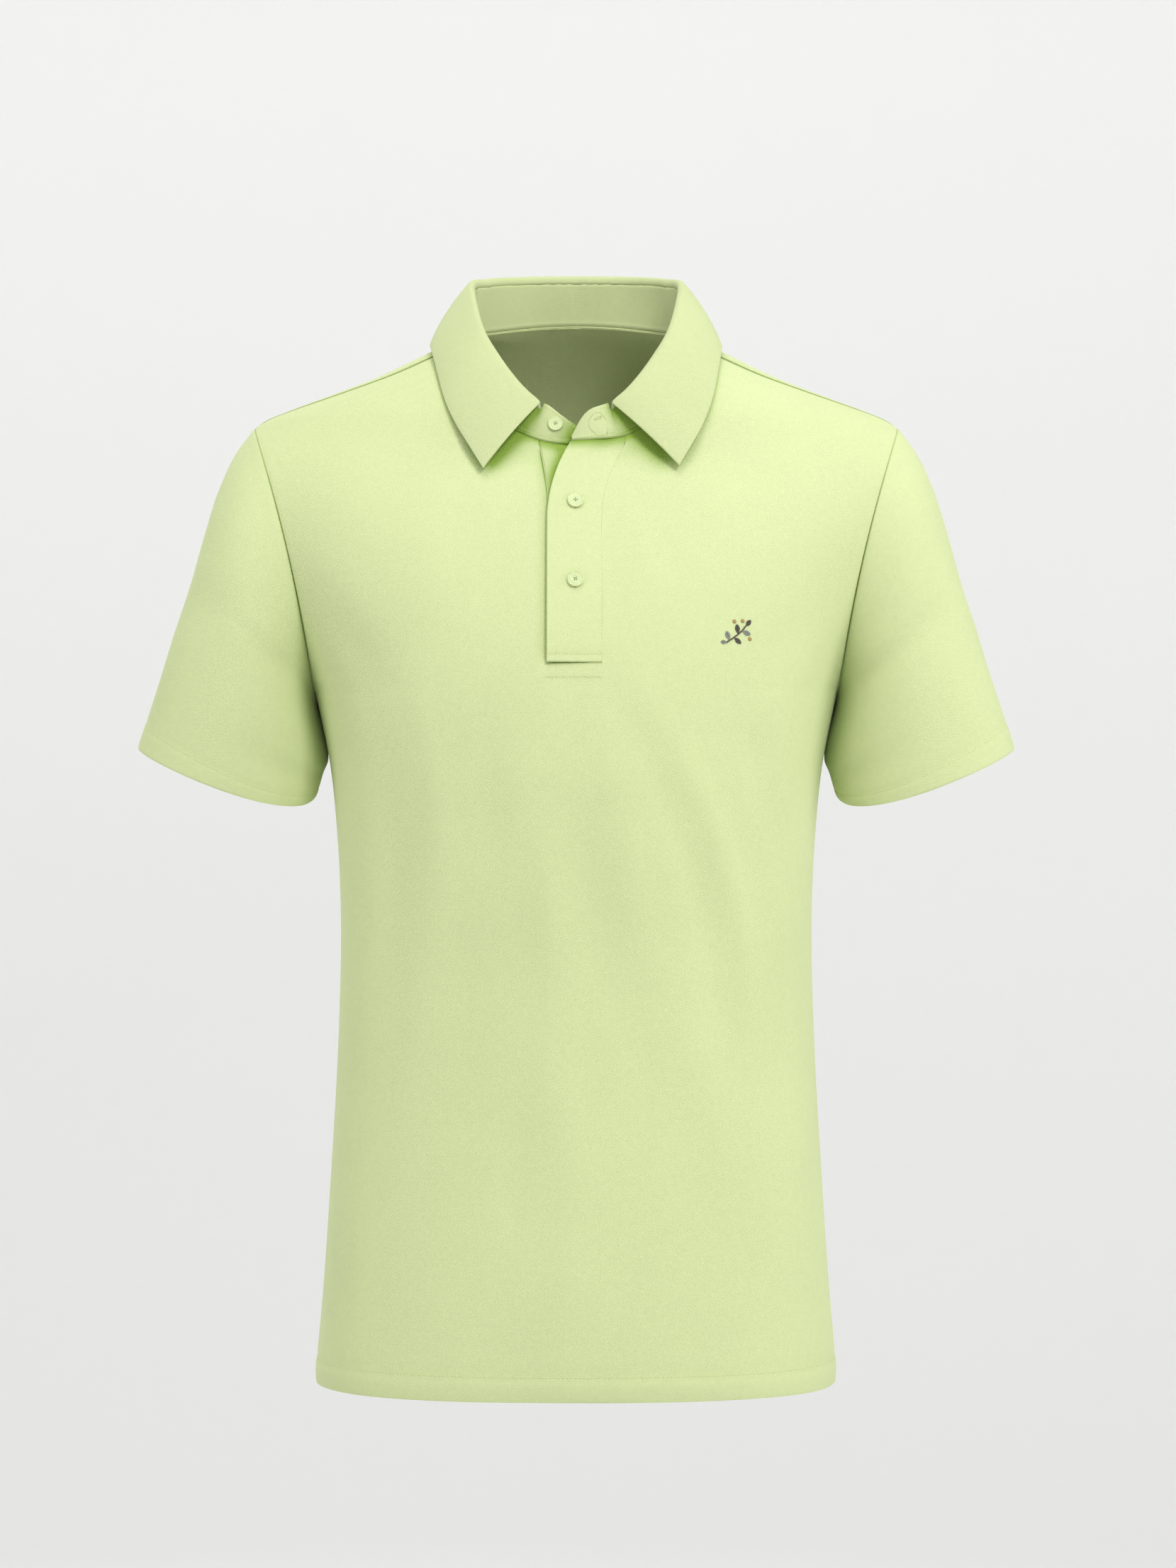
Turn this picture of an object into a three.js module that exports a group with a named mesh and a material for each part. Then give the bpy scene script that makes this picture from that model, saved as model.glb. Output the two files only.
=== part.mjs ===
// A polo shirt in its worn, hollow form: front, back, two short sleeves, a collar of a stand and a fall, a placket
// of two strips, and three buttons. Lengths are millimetres. +X is the wearer's left, -Y the front and +Z up.
// The origin is the centre of the neck opening, level with the neck points of the shoulders.
import * as THREE from "three";

// Cloth and sewing
const WALL = 1.5;
const HEM_WALL = 2.6;
const HEM_DEPTH = 17;
const SEAM_GAP = 0.4;
const PLACKET_WALL = 1.7;
const COLLAR_WALL = 1.8;

// Body
const HEM_Z = -731;
const UNDERARM_Z = -252;
const SHOULDER_POINT_Z = -66;
const FRONT_TOP_Z = -7;

// Neckline: a rounded drop at the front and a shallow scoop at the back
const NECK_HALF = 80;
const NECK_DROP = 82;
const NECK_RISE = 11;
const NECK_POWER = 2.15;

// Placket: two strips over a slot in the front, open in a V above the upper placket button
const PLACKET_WIDTH = 37;
const PLACKET_EDGE_X = -19.6;
const SLOT_LEFT_X = -18.6;
const SLOT_BOTTOM_Z = -233;
const V_BOTTOM_Z = -139;
const V_HEIGHT = 57;
const V_SHIFT_UPPER = 16.4;
const V_SHIFT_UNDER = 4.6;
const EDGE_PROUD = 2.2;
const EDGE_LIFT = 5.5;
const UNDER_REACH_X = 10;
const UNDER_DEPTH = 2;

// Collar: how far the fall reaches inside its fold, the fold's radius, where the stand's edge comes free of the
// fall, and the stand's gap over the neckline
const FOLD_INSIDE = 6;
const FOLD_RADIUS = 3;
const STAND_FOLD_END = 160.7;
const STAND_RAISE = 1;

// Buttons
const BUTTON_RADIUS = 5.5;
const BUTTON_HEIGHT = 2.4;
const BUTTON_GAP = 0.65;
const BUTTON_X = -1;
const UPPER_BUTTON_Z = -122.7;
const LOWER_BUTTON_Z = -176.9;
const COLLAR_BUTTON = { theta: 171, up: 0.6 };

// Mesh density
const HALF_FRONT_STEPS = 9;
const SLOT_STEPS = 3;
const HALF_BACK_STEPS = 8;
const STRIP_STEPS = 4;
const STAND_STEPS = 16;
const FALL_STEPS = 16;
const LEAF_STEPS = 5;

// Level sections of the body: half width at the side, reach of the front and back centre lines, depth of the
// side point, and the powers of the half superellipses that join them. The side is only read below the underarm.
const BODY = [
  { z: -731, side: 182.5, front: 127, back: 116, mid: 0, power: 2.5, backPower: 2.5 },
  { z: -660, side: 176.5, front: 125.5, back: 113, mid: 1, power: 2.5, backPower: 2.5 },
  { z: -580, side: 171.3, front: 122.5, back: 107.5, mid: 2, power: 2.45, backPower: 2.45 },
  { z: -500, side: 166.9, front: 120, back: 100, mid: 3, power: 2.4, backPower: 2.4 },
  { z: -421, side: 164.9, front: 121.5, back: 103, mid: 4, power: 2.4, backPower: 2.4 },
  { z: -342, side: 168.1, front: 127, back: 110.5, mid: 5, power: 2.4, backPower: 2.4 },
  { z: -302, side: 172.3, front: 129.5, back: 114.5, mid: 5, power: 2.35, backPower: 2.35 },
  { z: -252, side: 182.5, front: 128.5, back: 120.5, mid: 5, power: 2.3, backPower: 2.3 },
  { z: -180, side: 198, front: 116.5, back: 123.5, mid: 1.5, power: 2.15, backPower: 2.08 },
  { z: -124, side: 205, front: 97, back: 117, mid: -1.5, power: 2.1, backPower: 1.9 },
  { z: -82, side: 205, front: 76, back: 107, mid: -3.5, power: 2.1, backPower: 1.76 },
  { z: -54, side: 205, front: 65, back: 98, mid: -4, power: 2.1, backPower: 1.7 },
  { z: -34, side: 205, front: 54, back: 88, mid: -3, power: 2.1, backPower: 1.78 },
  { z: -5, side: 205, front: 35, back: 67, mid: -2, power: 2.1, backPower: 2.0 },
  { z: 11, side: 205, front: 22, back: 52, mid: -2, power: 2.1, backPower: 2.1 },
];

// The crest of the shoulders, and how far in front of it the shoulder seam lies
const SHOULDER = [
  { z: -66, crest: 225, forward: 0 },
  { z: -60, crest: 217, forward: 5 },
  { z: -54, crest: 203.7, forward: 6.5 },
  { z: -42, crest: 172.4, forward: 9 },
  { z: -30, crest: 142.5, forward: 11.5 },
  { z: -18, crest: 117.4, forward: 13.5 },
  { z: -5, crest: 90, forward: 15 },
  { z: 0, crest: 80, forward: 15 },
  { z: 11, crest: 69, forward: 15 },
];

// The sleeve's top line and underarm line, from the armhole seam (s 0) to the hem (s 1)
const SLEEVE_LINES = [
  { s: 0, topX: 225, topZ: -66, underX: 182.5, underZ: -252 },
  { s: 0.08, topX: 236.8, topZ: -81.5, underX: 183.6, underZ: -259 },
  { s: 0.2, topX: 249.2, topZ: -107.3, underX: 182, underZ: -267 },
  { s: 0.35, topX: 260, topZ: -141.4, underX: 179.8, underZ: -277 },
  { s: 0.5, topX: 269.8, topZ: -175.7, underX: 177.6, underZ: -288 },
  { s: 0.65, topX: 281.3, topZ: -209.7, underX: 176.6, underZ: -298 },
  { s: 0.8, topX: 292.2, topZ: -243.6, underX: 177.8, underZ: -308 },
  { s: 0.92, topX: 301, topZ: -271, underX: 180.8, underZ: -319 },
  { s: 1, topX: 306.5, topZ: -289, underX: 183, underZ: -325 },
];

// The sleeve's sections: half depths to front and back, the depth of the middle and its lean, the bulge along the
// sleeve and the dip of the front edge
const SLEEVE_FORM = [
  { s: 0, front: 61, back: 57, mid: 0.5, lean: 4.5, bulge: -6, dip: 0 },
  { s: 0.08, front: 63, back: 59, mid: 0.5, lean: 4, bulge: -1, dip: 1 },
  { s: 0.2, front: 64, back: 60, mid: 0, lean: 3.5, bulge: 3, dip: 3 },
  { s: 0.35, front: 64, back: 60, mid: -1, lean: 3, bulge: 4, dip: 5 },
  { s: 0.5, front: 63, back: 59, mid: -2, lean: 2, bulge: 3, dip: 7 },
  { s: 0.65, front: 60.5, back: 58, mid: -3, lean: 1.5, bulge: 2, dip: 9 },
  { s: 0.8, front: 57.5, back: 56, mid: -3.5, lean: 1, bulge: 1, dip: 10.5 },
  { s: 0.92, front: 55, back: 54, mid: -4, lean: 0, bulge: 0, dip: 11.5 },
  { s: 1, front: 53.5, back: 53, mid: -4, lean: 0, bulge: 0, dip: 11.5 },
];

// The collar's fold and the outer edge of its leaf, from centre back (theta 0) to the collar points
const COLLAR = [
  { theta: 0, foldX: 0, foldY: 50, foldZ: 47.5, edgeX: 0, edgeY: 66, edgeZ: 3 },
  { theta: 30, foldX: 36, foldY: 45.5, foldZ: 46.5, edgeX: 47, edgeY: 59, edgeZ: 1 },
  { theta: 60, foldX: 62, foldY: 28, foldZ: 43, edgeX: 84, edgeY: 38, edgeZ: -3 },
  { theta: 90, foldX: 73, foldY: 3, foldZ: 36, edgeX: 103, edgeY: 0, edgeZ: -7.5 },
  { theta: 100, foldX: 70.5, foldY: -18, foldZ: 21.5, edgeX: 102, edgeY: -21, edgeZ: -12 },
  { theta: 110, foldX: 65.5, foldY: -38, foldZ: 3.5, edgeX: 99, edgeY: -41, edgeZ: -28 },
  { theta: 125, foldX: 53.7, foldY: -54, foldZ: -18, edgeX: 94, edgeY: -60, edgeZ: -50 },
  { theta: 140, foldX: 41.3, foldY: -65, foldZ: -35.5, edgeX: 87, edgeY: -71, edgeZ: -68 },
  { theta: 152, foldX: 31.8, foldY: -69, foldZ: -46, edgeX: 79.5, edgeY: -80, edgeZ: -82 },
  { theta: 160, foldX: 24.3, foldY: -70, foldZ: -52.5, edgeX: 70.6, edgeY: -88, edgeZ: -97.5 },
];

// The stand's free top edge beyond the fold, at each front end
const STAND_END_LEFT = [
  { theta: 160, topX: 24.3, topZ: -52.5 },
  { theta: 168, topX: 17, topZ: -55.7 },
  { theta: 174, topX: 9, topZ: -59 },
  { theta: 178, topX: 3.5, topZ: -64.5 },
  { theta: 181.8, topX: -3.2, topZ: -76.5 },
];
const STAND_END_RIGHT = [
  { theta: 160, topX: 24.3, topZ: -52.5 },
  { theta: 168, topX: 17.5, topZ: -56 },
  { theta: 174, topX: 9.8, topZ: -62 },
  { theta: 180, topX: 0, topZ: -69 },
  { theta: 188.2, topX: -13, topZ: -76.5 },
];

// The wearer's right leaf lies a little closer to the centre than the left one.
const RIGHT_LEAF_IN = 7;
const RIGHT_LEAF_DROP = 1.5;

// Rows of points up the body. The rows between the underarm and the shoulder point also set out the sleeves.
const HEM_TOP_Z = HEM_Z + HEM_DEPTH;
const LOWER_ROWS = [HEM_Z, HEM_TOP_Z, HEM_TOP_Z + 1.5, -655, -590, -530, -470, -410, -355, -315, -282];
const ARMHOLE_ROWS = [
  ...[UNDERARM_Z, -249.5, -243, SLOT_BOTTOM_Z, -219, -203, -185, -165],
  ...[-143, -121, -102, -88, -79.5, -76, -70, SHOULDER_POINT_Z],
];
const SHOULDER_ROWS = [-60, -54, -42, -30, -18, FRONT_TOP_Z];
const BACK_NECK_ROWS = [-3, 0, 3, 6, 9, 10.6];
const SLEEVE_ROWS = [0, 0.08, 0.2, 0.35, 0.5, 0.65, 0.8, 0.92, 0.93, 1];

const CLOTH_COLOUR = 0xd9e7ae;
const BUTTON_COLOUR = 0xd3e0a8;

const radians = THREE.MathUtils.degToRad;
const degrees = THREE.MathUtils.radToDeg;
const clamp = THREE.MathUtils.clamp;
const mix = THREE.MathUtils.lerp;

// A smooth curve with no overshoot through a table's rows, from one column to another.
function through(rows, from, to) {
  const at = rows.map((row) => row[from]);
  const value = rows.map((row) => row[to]);
  const rise = at.slice(1).map((next, i) => (value[i + 1] - value[i]) / (next - at[i]));
  const slope = at.map((_, i) => {
    if (i === 0) return rise[0];
    if (i === at.length - 1) return rise[i - 1];
    if (rise[i - 1] * rise[i] <= 0) return 0;
    const before = at[i] - at[i - 1];
    const after = at[i + 1] - at[i];
    const even = (rise[i - 1] * after + rise[i] * before) / (before + after);
    const most = 3 * Math.min(Math.abs(rise[i - 1]), Math.abs(rise[i]));
    return clamp(even, -most, most);
  });
  return (where) => {
    const s = clamp(where, at[0], at[at.length - 1]);
    let i = 0;
    while (i < at.length - 2 && s > at[i + 1]) i += 1;
    const span = at[i + 1] - at[i];
    const t = (s - at[i]) / span;
    const bend = t * t * (3 - 2 * t);
    const start = t * (1 - t) * (1 - t) * slope[i];
    const end = t * t * (1 - t) * slope[i + 1];
    return mix(value[i], value[i + 1], bend) + span * (start - end);
  };
}

const bodyColumns = {};
for (const name of Object.keys(BODY[0]).slice(1)) bodyColumns[name] = through(BODY, "z", name);
const crestAt = through(SHOULDER, "z", "crest");
const forwardAt = through(SHOULDER, "z", "forward");
const sleeveColumns = {};
for (const rows of [SLEEVE_LINES, SLEEVE_FORM]) {
  for (const name of Object.keys(rows[0]).slice(1)) sleeveColumns[name] = through(rows, "s", name);
}

// A point of a sleeve at s along it and phi degrees round it: 0 on top, 90 in front, 180 at the underarm.
function sleevePoint(s, phi) {
  const c = {};
  for (const name of Object.keys(sleeveColumns)) c[name] = sleeveColumns[name](s);
  const cos = Math.cos(radians(phi));
  const sin = Math.sin(radians(phi));
  const halfX = (c.topX - c.underX) / 2;
  const halfZ = (c.topZ - c.underZ) / 2;
  const half = Math.hypot(halfX, halfZ);
  const dip = c.dip * sin * (1 - 0.4 * cos) * (sin > 0 ? 1 : 0.6);
  const along = c.bulge * sin * sin + dip;
  const depth = sin > 0 ? -c.front * sin : -c.back * sin;
  return new THREE.Vector3(
    (c.topX + c.underX) / 2 + halfX * cos + (along * halfZ) / half,
    c.mid - c.lean * cos + depth,
    (c.topZ + c.underZ) / 2 + halfZ * cos - (along * halfX) / half,
  );
}

// The angle round the armhole seam of its point at height z, on the front half.
function armholeAngle(z) {
  let low = 0;
  let high = 180;
  for (let i = 0; i < 40; i += 1) {
    const middle = (low + high) / 2;
    if (sleevePoint(0, middle).z > z) low = middle;
    else high = middle;
  }
  return (low + high) / 2;
}

function armholePoint(z, front) {
  const phi = armholeAngle(z);
  return sleevePoint(0, front ? phi : 360 - phi);
}

// The section of the body at height z, on its front or back half. Beside an armhole the half width is the one
// that carries the section through the armhole seam.
function section(z, front) {
  const power = front ? bodyColumns.power(z) : bodyColumns.backPower(z);
  const mid = bodyColumns.mid(z);
  const reach = front ? bodyColumns.front(z) + mid : bodyColumns.back(z) - mid;
  let half = bodyColumns.side(z);
  if (z > SHOULDER_POINT_Z) half = crestAt(z);
  else if (z > UNDERARM_Z) {
    const seam = armholePoint(z, front);
    const share = clamp(Math.abs(seam.y - mid) / reach, 0, 0.9);
    half = seam.x / (1 - share ** power) ** (1 / power);
  }
  return { half, reach, mid, power };
}

// A point of the body at height z and angle psi: 0 at centre back, 90 at the wearer's left side, 180 in front.
function bodyPoint(z, psi) {
  const sin = Math.sin(radians(psi));
  const cos = Math.cos(radians(psi));
  const { half, reach, mid, power } = section(z, cos < 0);
  const x = Math.sign(sin) * half * Math.abs(sin) ** (2 / power);
  const y = mid + Math.sign(cos) * reach * Math.abs(cos) ** (2 / power);
  return new THREE.Vector3(x, y, z);
}

// The angle psi of the front point at x, and of the front or back point whose depth is y.
function frontAngle(z, x) {
  const { half, power } = section(z, true);
  const lean = degrees(Math.asin(clamp(Math.abs(x) / half, 0, 1) ** (power / 2)));
  return x > 0 ? 180 - lean : 180 + lean;
}

function depthAngle(z, y) {
  const front = y < bodyColumns.mid(z);
  const { reach, mid, power } = section(z, front);
  const lean = degrees(Math.acos(clamp(Math.abs(y - mid) / reach, 0, 1) ** (power / 2)));
  return front ? 180 - lean : lean;
}

// The outward direction of the body at a point, from how fast the sections close around it.
function bodyNormal(point) {
  const inside = (x, y, z) => {
    const { half, reach, mid, power } = section(z, y < bodyColumns.mid(z));
    return (Math.abs(x) / half) ** power + (Math.abs(y - mid) / reach) ** power;
  };
  const step = 0.5;
  const { x, y, z } = point;
  return new THREE.Vector3(
    inside(x + step, y, z) - inside(x - step, y, z),
    inside(x, y + step, z) - inside(x, y - step, z),
    inside(x, y, z + step) - inside(x, y, z - step),
  ).normalize();
}

function sleeveNormal(s, phi) {
  const step = 0.01;
  const along = sleevePoint(Math.min(s + step, 1), phi).sub(sleevePoint(Math.max(s - step, 0), phi));
  const round = sleevePoint(s, phi + 1).sub(sleevePoint(s, phi - 1));
  return round.cross(along).normalize();
}

// Over the top of the armhole both cloths share one edge direction, so that their walls stay apart.
function sharedNormal(own, other, phi) {
  const fromTop = phi > 180 ? 360 - phi : phi;
  const share = 0.5 * (1 - THREE.MathUtils.smoothstep(fromTop, 45, 75));
  return own.clone().lerp(other, share).normalize();
}

// A closed wall from a grid of outer points, each with its outward normal and wall thickness. Quads with a
// missing corner, or that skip() names, are left open, and every open edge gets a side.
function wallGeometry(grid, { ring = false, skip = () => false } = {}) {
  const outer = [];
  const inner = [];
  const index = grid.map((row) =>
    row.map((corner) => {
      if (!corner) return -1;
      outer.push(corner.at);
      inner.push(corner.at.clone().addScaledVector(corner.normal, -corner.wall));
      return outer.length - 1;
    }),
  );
  const faces = [];
  const columns = grid[0].length;
  for (let r = 0; r + 1 < grid.length; r += 1) {
    for (let c = 0; c < (ring ? columns : columns - 1); c += 1) {
      const next = (c + 1) % columns;
      const quad = [index[r][c], index[r][next], index[r + 1][next], index[r + 1][c]];
      if (quad.includes(-1) || skip(r, c)) continue;
      const split = outer[quad[0]].distanceTo(outer[quad[2]]) < outer[quad[1]].distanceTo(outer[quad[3]]);
      const [i, j, k, l] = split ? quad : [...quad.slice(1), quad[0]];
      faces.push([i, j, k], [i, k, l]);
    }
  }
  const edges = new Set();
  for (const [i, j, k] of faces) for (const [from, to] of [[i, j], [j, k], [k, i]]) edges.add(`${from},${to}`);
  const count = outer.length;
  const triangles = [];
  for (const [i, j, k] of faces) {
    triangles.push([i, j, k], [i + count, k + count, j + count]);
    for (const [from, to] of [[i, j], [j, k], [k, i]]) {
      if (edges.has(`${to},${from}`)) continue;
      triangles.push([to, from, from + count], [to, from + count, to + count]);
    }
  }
  return closedGeometry([...outer, ...inner], triangles);
}

// A geometry from points and triangles, turned to face outward.
function closedGeometry(points, triangles) {
  let volume = 0;
  for (const [i, j, k] of triangles) volume += points[i].dot(points[j].clone().cross(points[k]));
  const order = volume > 0 ? triangles : triangles.map(([i, j, k]) => [i, k, j]);
  const geometry = new THREE.BufferGeometry().setFromPoints(points);
  geometry.setIndex(order.flat());
  geometry.computeVertexNormals();
  return geometry;
}

// Moves the end points of every row towards their neighbours, so that the seams stay open by a hair.
function pullEnds(grid) {
  for (const row of grid) {
    const solid = row.filter(Boolean);
    const ends = [[0, 1], [solid.length - 1, solid.length - 2]];
    const moves = ends.map(([end, near]) =>
      solid[near].at.clone().sub(solid[end].at).setLength(SEAM_GAP / 2),
    );
    ends.forEach(([end], i) => solid[end].at.add(moves[i]));
  }
}

function bodyWall(z) {
  return z <= HEM_Z + HEM_DEPTH ? HEM_WALL : WALL;
}

function bodyCorner(z, psi) {
  const at = bodyPoint(z, psi);
  return { at, normal: bodyNormal(at), wall: bodyWall(z) };
}

// The direction of a panel's edge at the armhole.
function turnArmholeEnds(row, z, front) {
  if (z < UNDERARM_Z || z > SHOULDER_POINT_Z) return;
  const angle = armholeAngle(z);
  const phi = front ? angle : 360 - angle;
  const mirror = new THREE.Vector3(-1, 1, 1);
  for (const [end, left] of [[0, front], [row.length - 1, !front]]) {
    const own = row[end].normal.clone();
    if (!left) own.multiply(mirror);
    const shared = sharedNormal(own, sleeveNormal(0, phi), phi);
    row[end].normal = left ? shared : shared.multiply(mirror);
  }
}

// The angle psi at which the front or the back panel ends, on the wearer's left.
function panelEnd(z, front) {
  if (z > FRONT_TOP_Z) {
    if (z < 0) return frontAngle(z, neckHalfFront(z));
    return z === 0 ? 90 : backNeckAngle(z);
  }
  if (z > SHOULDER_POINT_Z) return depthAngle(z, bodyColumns.mid(z) - forwardAt(z));
  if (z > UNDERARM_Z) return depthAngle(z, armholePoint(z, front).y);
  return 90;
}

function neckHalfFront(z) {
  return NECK_HALF * (1 - clamp(-z / NECK_DROP, 0, 1) ** NECK_POWER) ** (1 / NECK_POWER);
}

function backNeckAngle(z) {
  const { half, power } = section(z, false);
  const x = NECK_HALF * Math.sqrt(1 - z / NECK_RISE);
  return degrees(Math.asin(clamp(x / half, 0, 1) ** (power / 2)));
}

// How far the V is open at height z, from 0 to 1.
function openness(z) {
  return clamp((z - V_BOTTOM_Z) / V_HEIGHT, 0, 1);
}

function upperEdgeX(z) {
  return PLACKET_EDGE_X + V_SHIFT_UPPER * openness(z) ** 2.2;
}

function underEdgeX(z) {
  return SLOT_LEFT_X - V_SHIFT_UNDER * openness(z) ** 2;
}

// Front panel

function frontPanel() {
  const rows = [...LOWER_ROWS, ...ARMHOLE_ROWS, ...SHOULDER_ROWS];
  const grid = rows.map((z) => {
    const end = panelEnd(z, true);
    const slot = z <= SLOT_BOTTOM_Z;
    const neck = neckHalfFront(z);
    const left = frontAngle(z, Math.max(upperEdgeX(z) + PLACKET_WIDTH, z > -NECK_DROP ? neck : 0));
    const right = frontAngle(z, Math.min(underEdgeX(z), z > -NECK_DROP ? -neck : 0));
    const row = [];
    for (let i = 0; i <= HALF_FRONT_STEPS; i += 1) row.push(mix(end, left, i / HALF_FRONT_STEPS));
    for (let i = 1; i < SLOT_STEPS; i += 1) row.push(slot ? mix(left, right, i / SLOT_STEPS) : null);
    for (let i = 0; i <= HALF_FRONT_STEPS; i += 1) row.push(mix(right, 360 - end, i / HALF_FRONT_STEPS));
    const corners = row.map((psi) => (psi === null ? null : bodyCorner(z, psi)));
    turnArmholeEnds(corners, z, true);
    return corners;
  });
  pullEnds(grid);
  return wallGeometry(grid);
}

// Back panel

function backPanel() {
  const rows = [...LOWER_ROWS, ...ARMHOLE_ROWS, ...SHOULDER_ROWS, ...BACK_NECK_ROWS];
  const grid = rows.map((z) => {
    const end = panelEnd(z, false);
    const row = [];
    for (let i = -HALF_BACK_STEPS; i <= HALF_BACK_STEPS; i += 1) {
      row.push(bodyCorner(z, (end * i) / HALF_BACK_STEPS));
    }
    turnArmholeEnds(row, z, false);
    return row;
  });
  pullEnds(grid);
  return wallGeometry(grid);
}

// Sleeves

function sleeve(side) {
  const front = [...ARMHOLE_ROWS].reverse().map(armholeAngle);
  const back = ARMHOLE_ROWS.slice(1, -1).map((z) => 360 - armholeAngle(z));
  const angles = [0, ...front.slice(1, -1), 180, ...back];
  const outward = new THREE.Vector3(1, 0, -0.25).setLength(SEAM_GAP);
  const grid = SLEEVE_ROWS.map((s) =>
    angles.map((phi) => {
      const at = sleevePoint(s, phi);
      let normal = sleeveNormal(s, phi);
      if (s === 0) {
        normal = sharedNormal(normal, bodyNormal(at), phi);
        at.add(outward);
      }
      return { at, normal, wall: s > 0.92 ? HEM_WALL : WALL };
    }),
  );
  const mirror = new THREE.Vector3(side, 1, 1);
  for (const corner of grid.flat()) {
    corner.at.multiply(mirror);
    corner.normal.multiply(mirror);
  }
  return wallGeometry(grid, { ring: true });
}

// Placket strips: laid on the front's own points and moved out or in

function frontCorner(x, z, out, wall) {
  const at = bodyPoint(z, frontAngle(z, x));
  const normal = bodyNormal(at);
  return { at: at.addScaledVector(normal, out), normal, wall };
}

function upperOut(across, z) {
  return (1 - across) * (EDGE_PROUD + EDGE_LIFT * openness(z) ** 2);
}

function underOut(x, z) {
  const start = underEdgeX(z);
  return (-UNDER_DEPTH * clamp(x - start, 0, UNDER_REACH_X - start)) / (UNDER_REACH_X - start);
}

function neckZ(x) {
  return -NECK_DROP * (1 - clamp(Math.abs(x) / NECK_HALF, 0, 1) ** NECK_POWER) ** (1 / NECK_POWER);
}

const PLACKET_ROWS = ARMHOLE_ROWS.filter((z) => z > SLOT_BOTTOM_Z && z < -80);

function strip(placeAt) {
  const grid = [SLOT_BOTTOM_Z + SEAM_GAP, ...PLACKET_ROWS, 0].map((z, r, all) => {
    const row = [];
    for (let i = 0; i <= STRIP_STEPS; i += 1) {
      const last = r === all.length - 1;
      row.push(placeAt(i / STRIP_STEPS, last ? null : z));
    }
    return row;
  });
  return wallGeometry(grid);
}

function upperPlacket() {
  const width = PLACKET_WIDTH - SEAM_GAP;
  return strip((across, level) => {
    const x = upperEdgeX(level ?? neckZ(0)) + width * across;
    const z = level ?? neckZ(x) - SEAM_GAP / 2;
    return frontCorner(x, z, upperOut(across, z), PLACKET_WALL);
  });
}

function underPlacket() {
  return strip((across, level) => {
    const x = mix(underEdgeX(level ?? neckZ(0)) + SEAM_GAP, UNDER_REACH_X, across);
    const z = level ?? neckZ(x) - SEAM_GAP / 2;
    return frontCorner(x, z, underOut(x, z), PLACKET_WALL);
  });
}

// Collar

const fold = {};
for (const name of Object.keys(COLLAR[0]).slice(1)) fold[name] = through(COLLAR, "theta", name);

// The neck seam at theta degrees from centre back, on the wearer's left or right.
function neckSeam(theta, side) {
  const sin = Math.sin(radians(theta));
  const cos = Math.cos(radians(theta));
  if (theta <= 90) {
    const z = NECK_RISE * cos * cos;
    const psi = theta === 90 ? 90 : backNeckAngle(Math.min(z, NECK_RISE - 0.01));
    return bodyPoint(z, theta === 0 ? 0 : psi).multiply(new THREE.Vector3(side, 1, 1));
  }
  const x = NECK_HALF * Math.sign(sin) * Math.abs(sin) ** (2 / NECK_POWER);
  const z = -NECK_DROP * Math.abs(cos) ** (2 / NECK_POWER);
  const at = bodyPoint(z, frontAngle(z, x));
  const normal = bodyNormal(at);
  const reach = side > 0 ? upperOut(clamp((x - upperEdgeX(-NECK_DROP)) / PLACKET_WIDTH, 0, 1), -NECK_DROP) : 0;
  const out = side > 0 ? reach : underOut(Math.min(-x, UNDER_REACH_X), -NECK_DROP);
  return at.addScaledVector(normal, out).multiply(new THREE.Vector3(side, 1, 1));
}

// The top line of the stand, where the collar folds over, or its free edge at the front ends.
function foldPoint(theta, side) {
  const last = COLLAR[COLLAR.length - 1].theta;
  const at = new THREE.Vector3(fold.foldX(theta), fold.foldY(theta), fold.foldZ(theta));
  if (theta > last) {
    const rows = side > 0 ? STAND_END_LEFT : STAND_END_RIGHT;
    const seam = neckSeam(theta, side);
    at.set(through(rows, "theta", "topX")(theta), 0, through(rows, "theta", "topZ")(theta));
    const height = at.z - seam.z;
    at.y = seam.y + height * 0.18;
    const start = foldPoint(last, side);
    const blend = clamp((theta - last) / 8, 0, 1);
    at.y = mix(start.y, at.y, blend);
  }
  return at.multiply(new THREE.Vector3(side, 1, 1));
}

// The direction away from the neck, level, at the fold.
function foldOutward(theta, side) {
  const last = COLLAR[COLLAR.length - 1].theta;
  const near = clamp(theta, 0, last);
  const before = foldPoint(Math.max(near - 2, 0), 1);
  const after = foldPoint(Math.min(near + 2, last), 1);
  const run = after.sub(before);
  const outward = new THREE.Vector3(-run.y, run.x, 0).normalize();
  if (theta < 0.01) outward.set(0, 1, 0);
  return outward.multiply(new THREE.Vector3(side, 1, 1));
}

// The top edge of the stand: under the fall as far as that goes, and free beyond it.
function standTop(theta, side) {
  const at = foldPoint(theta, side);
  if (theta <= STAND_FOLD_END) at.z -= FOLD_INSIDE + SEAM_GAP;
  return at;
}

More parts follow.
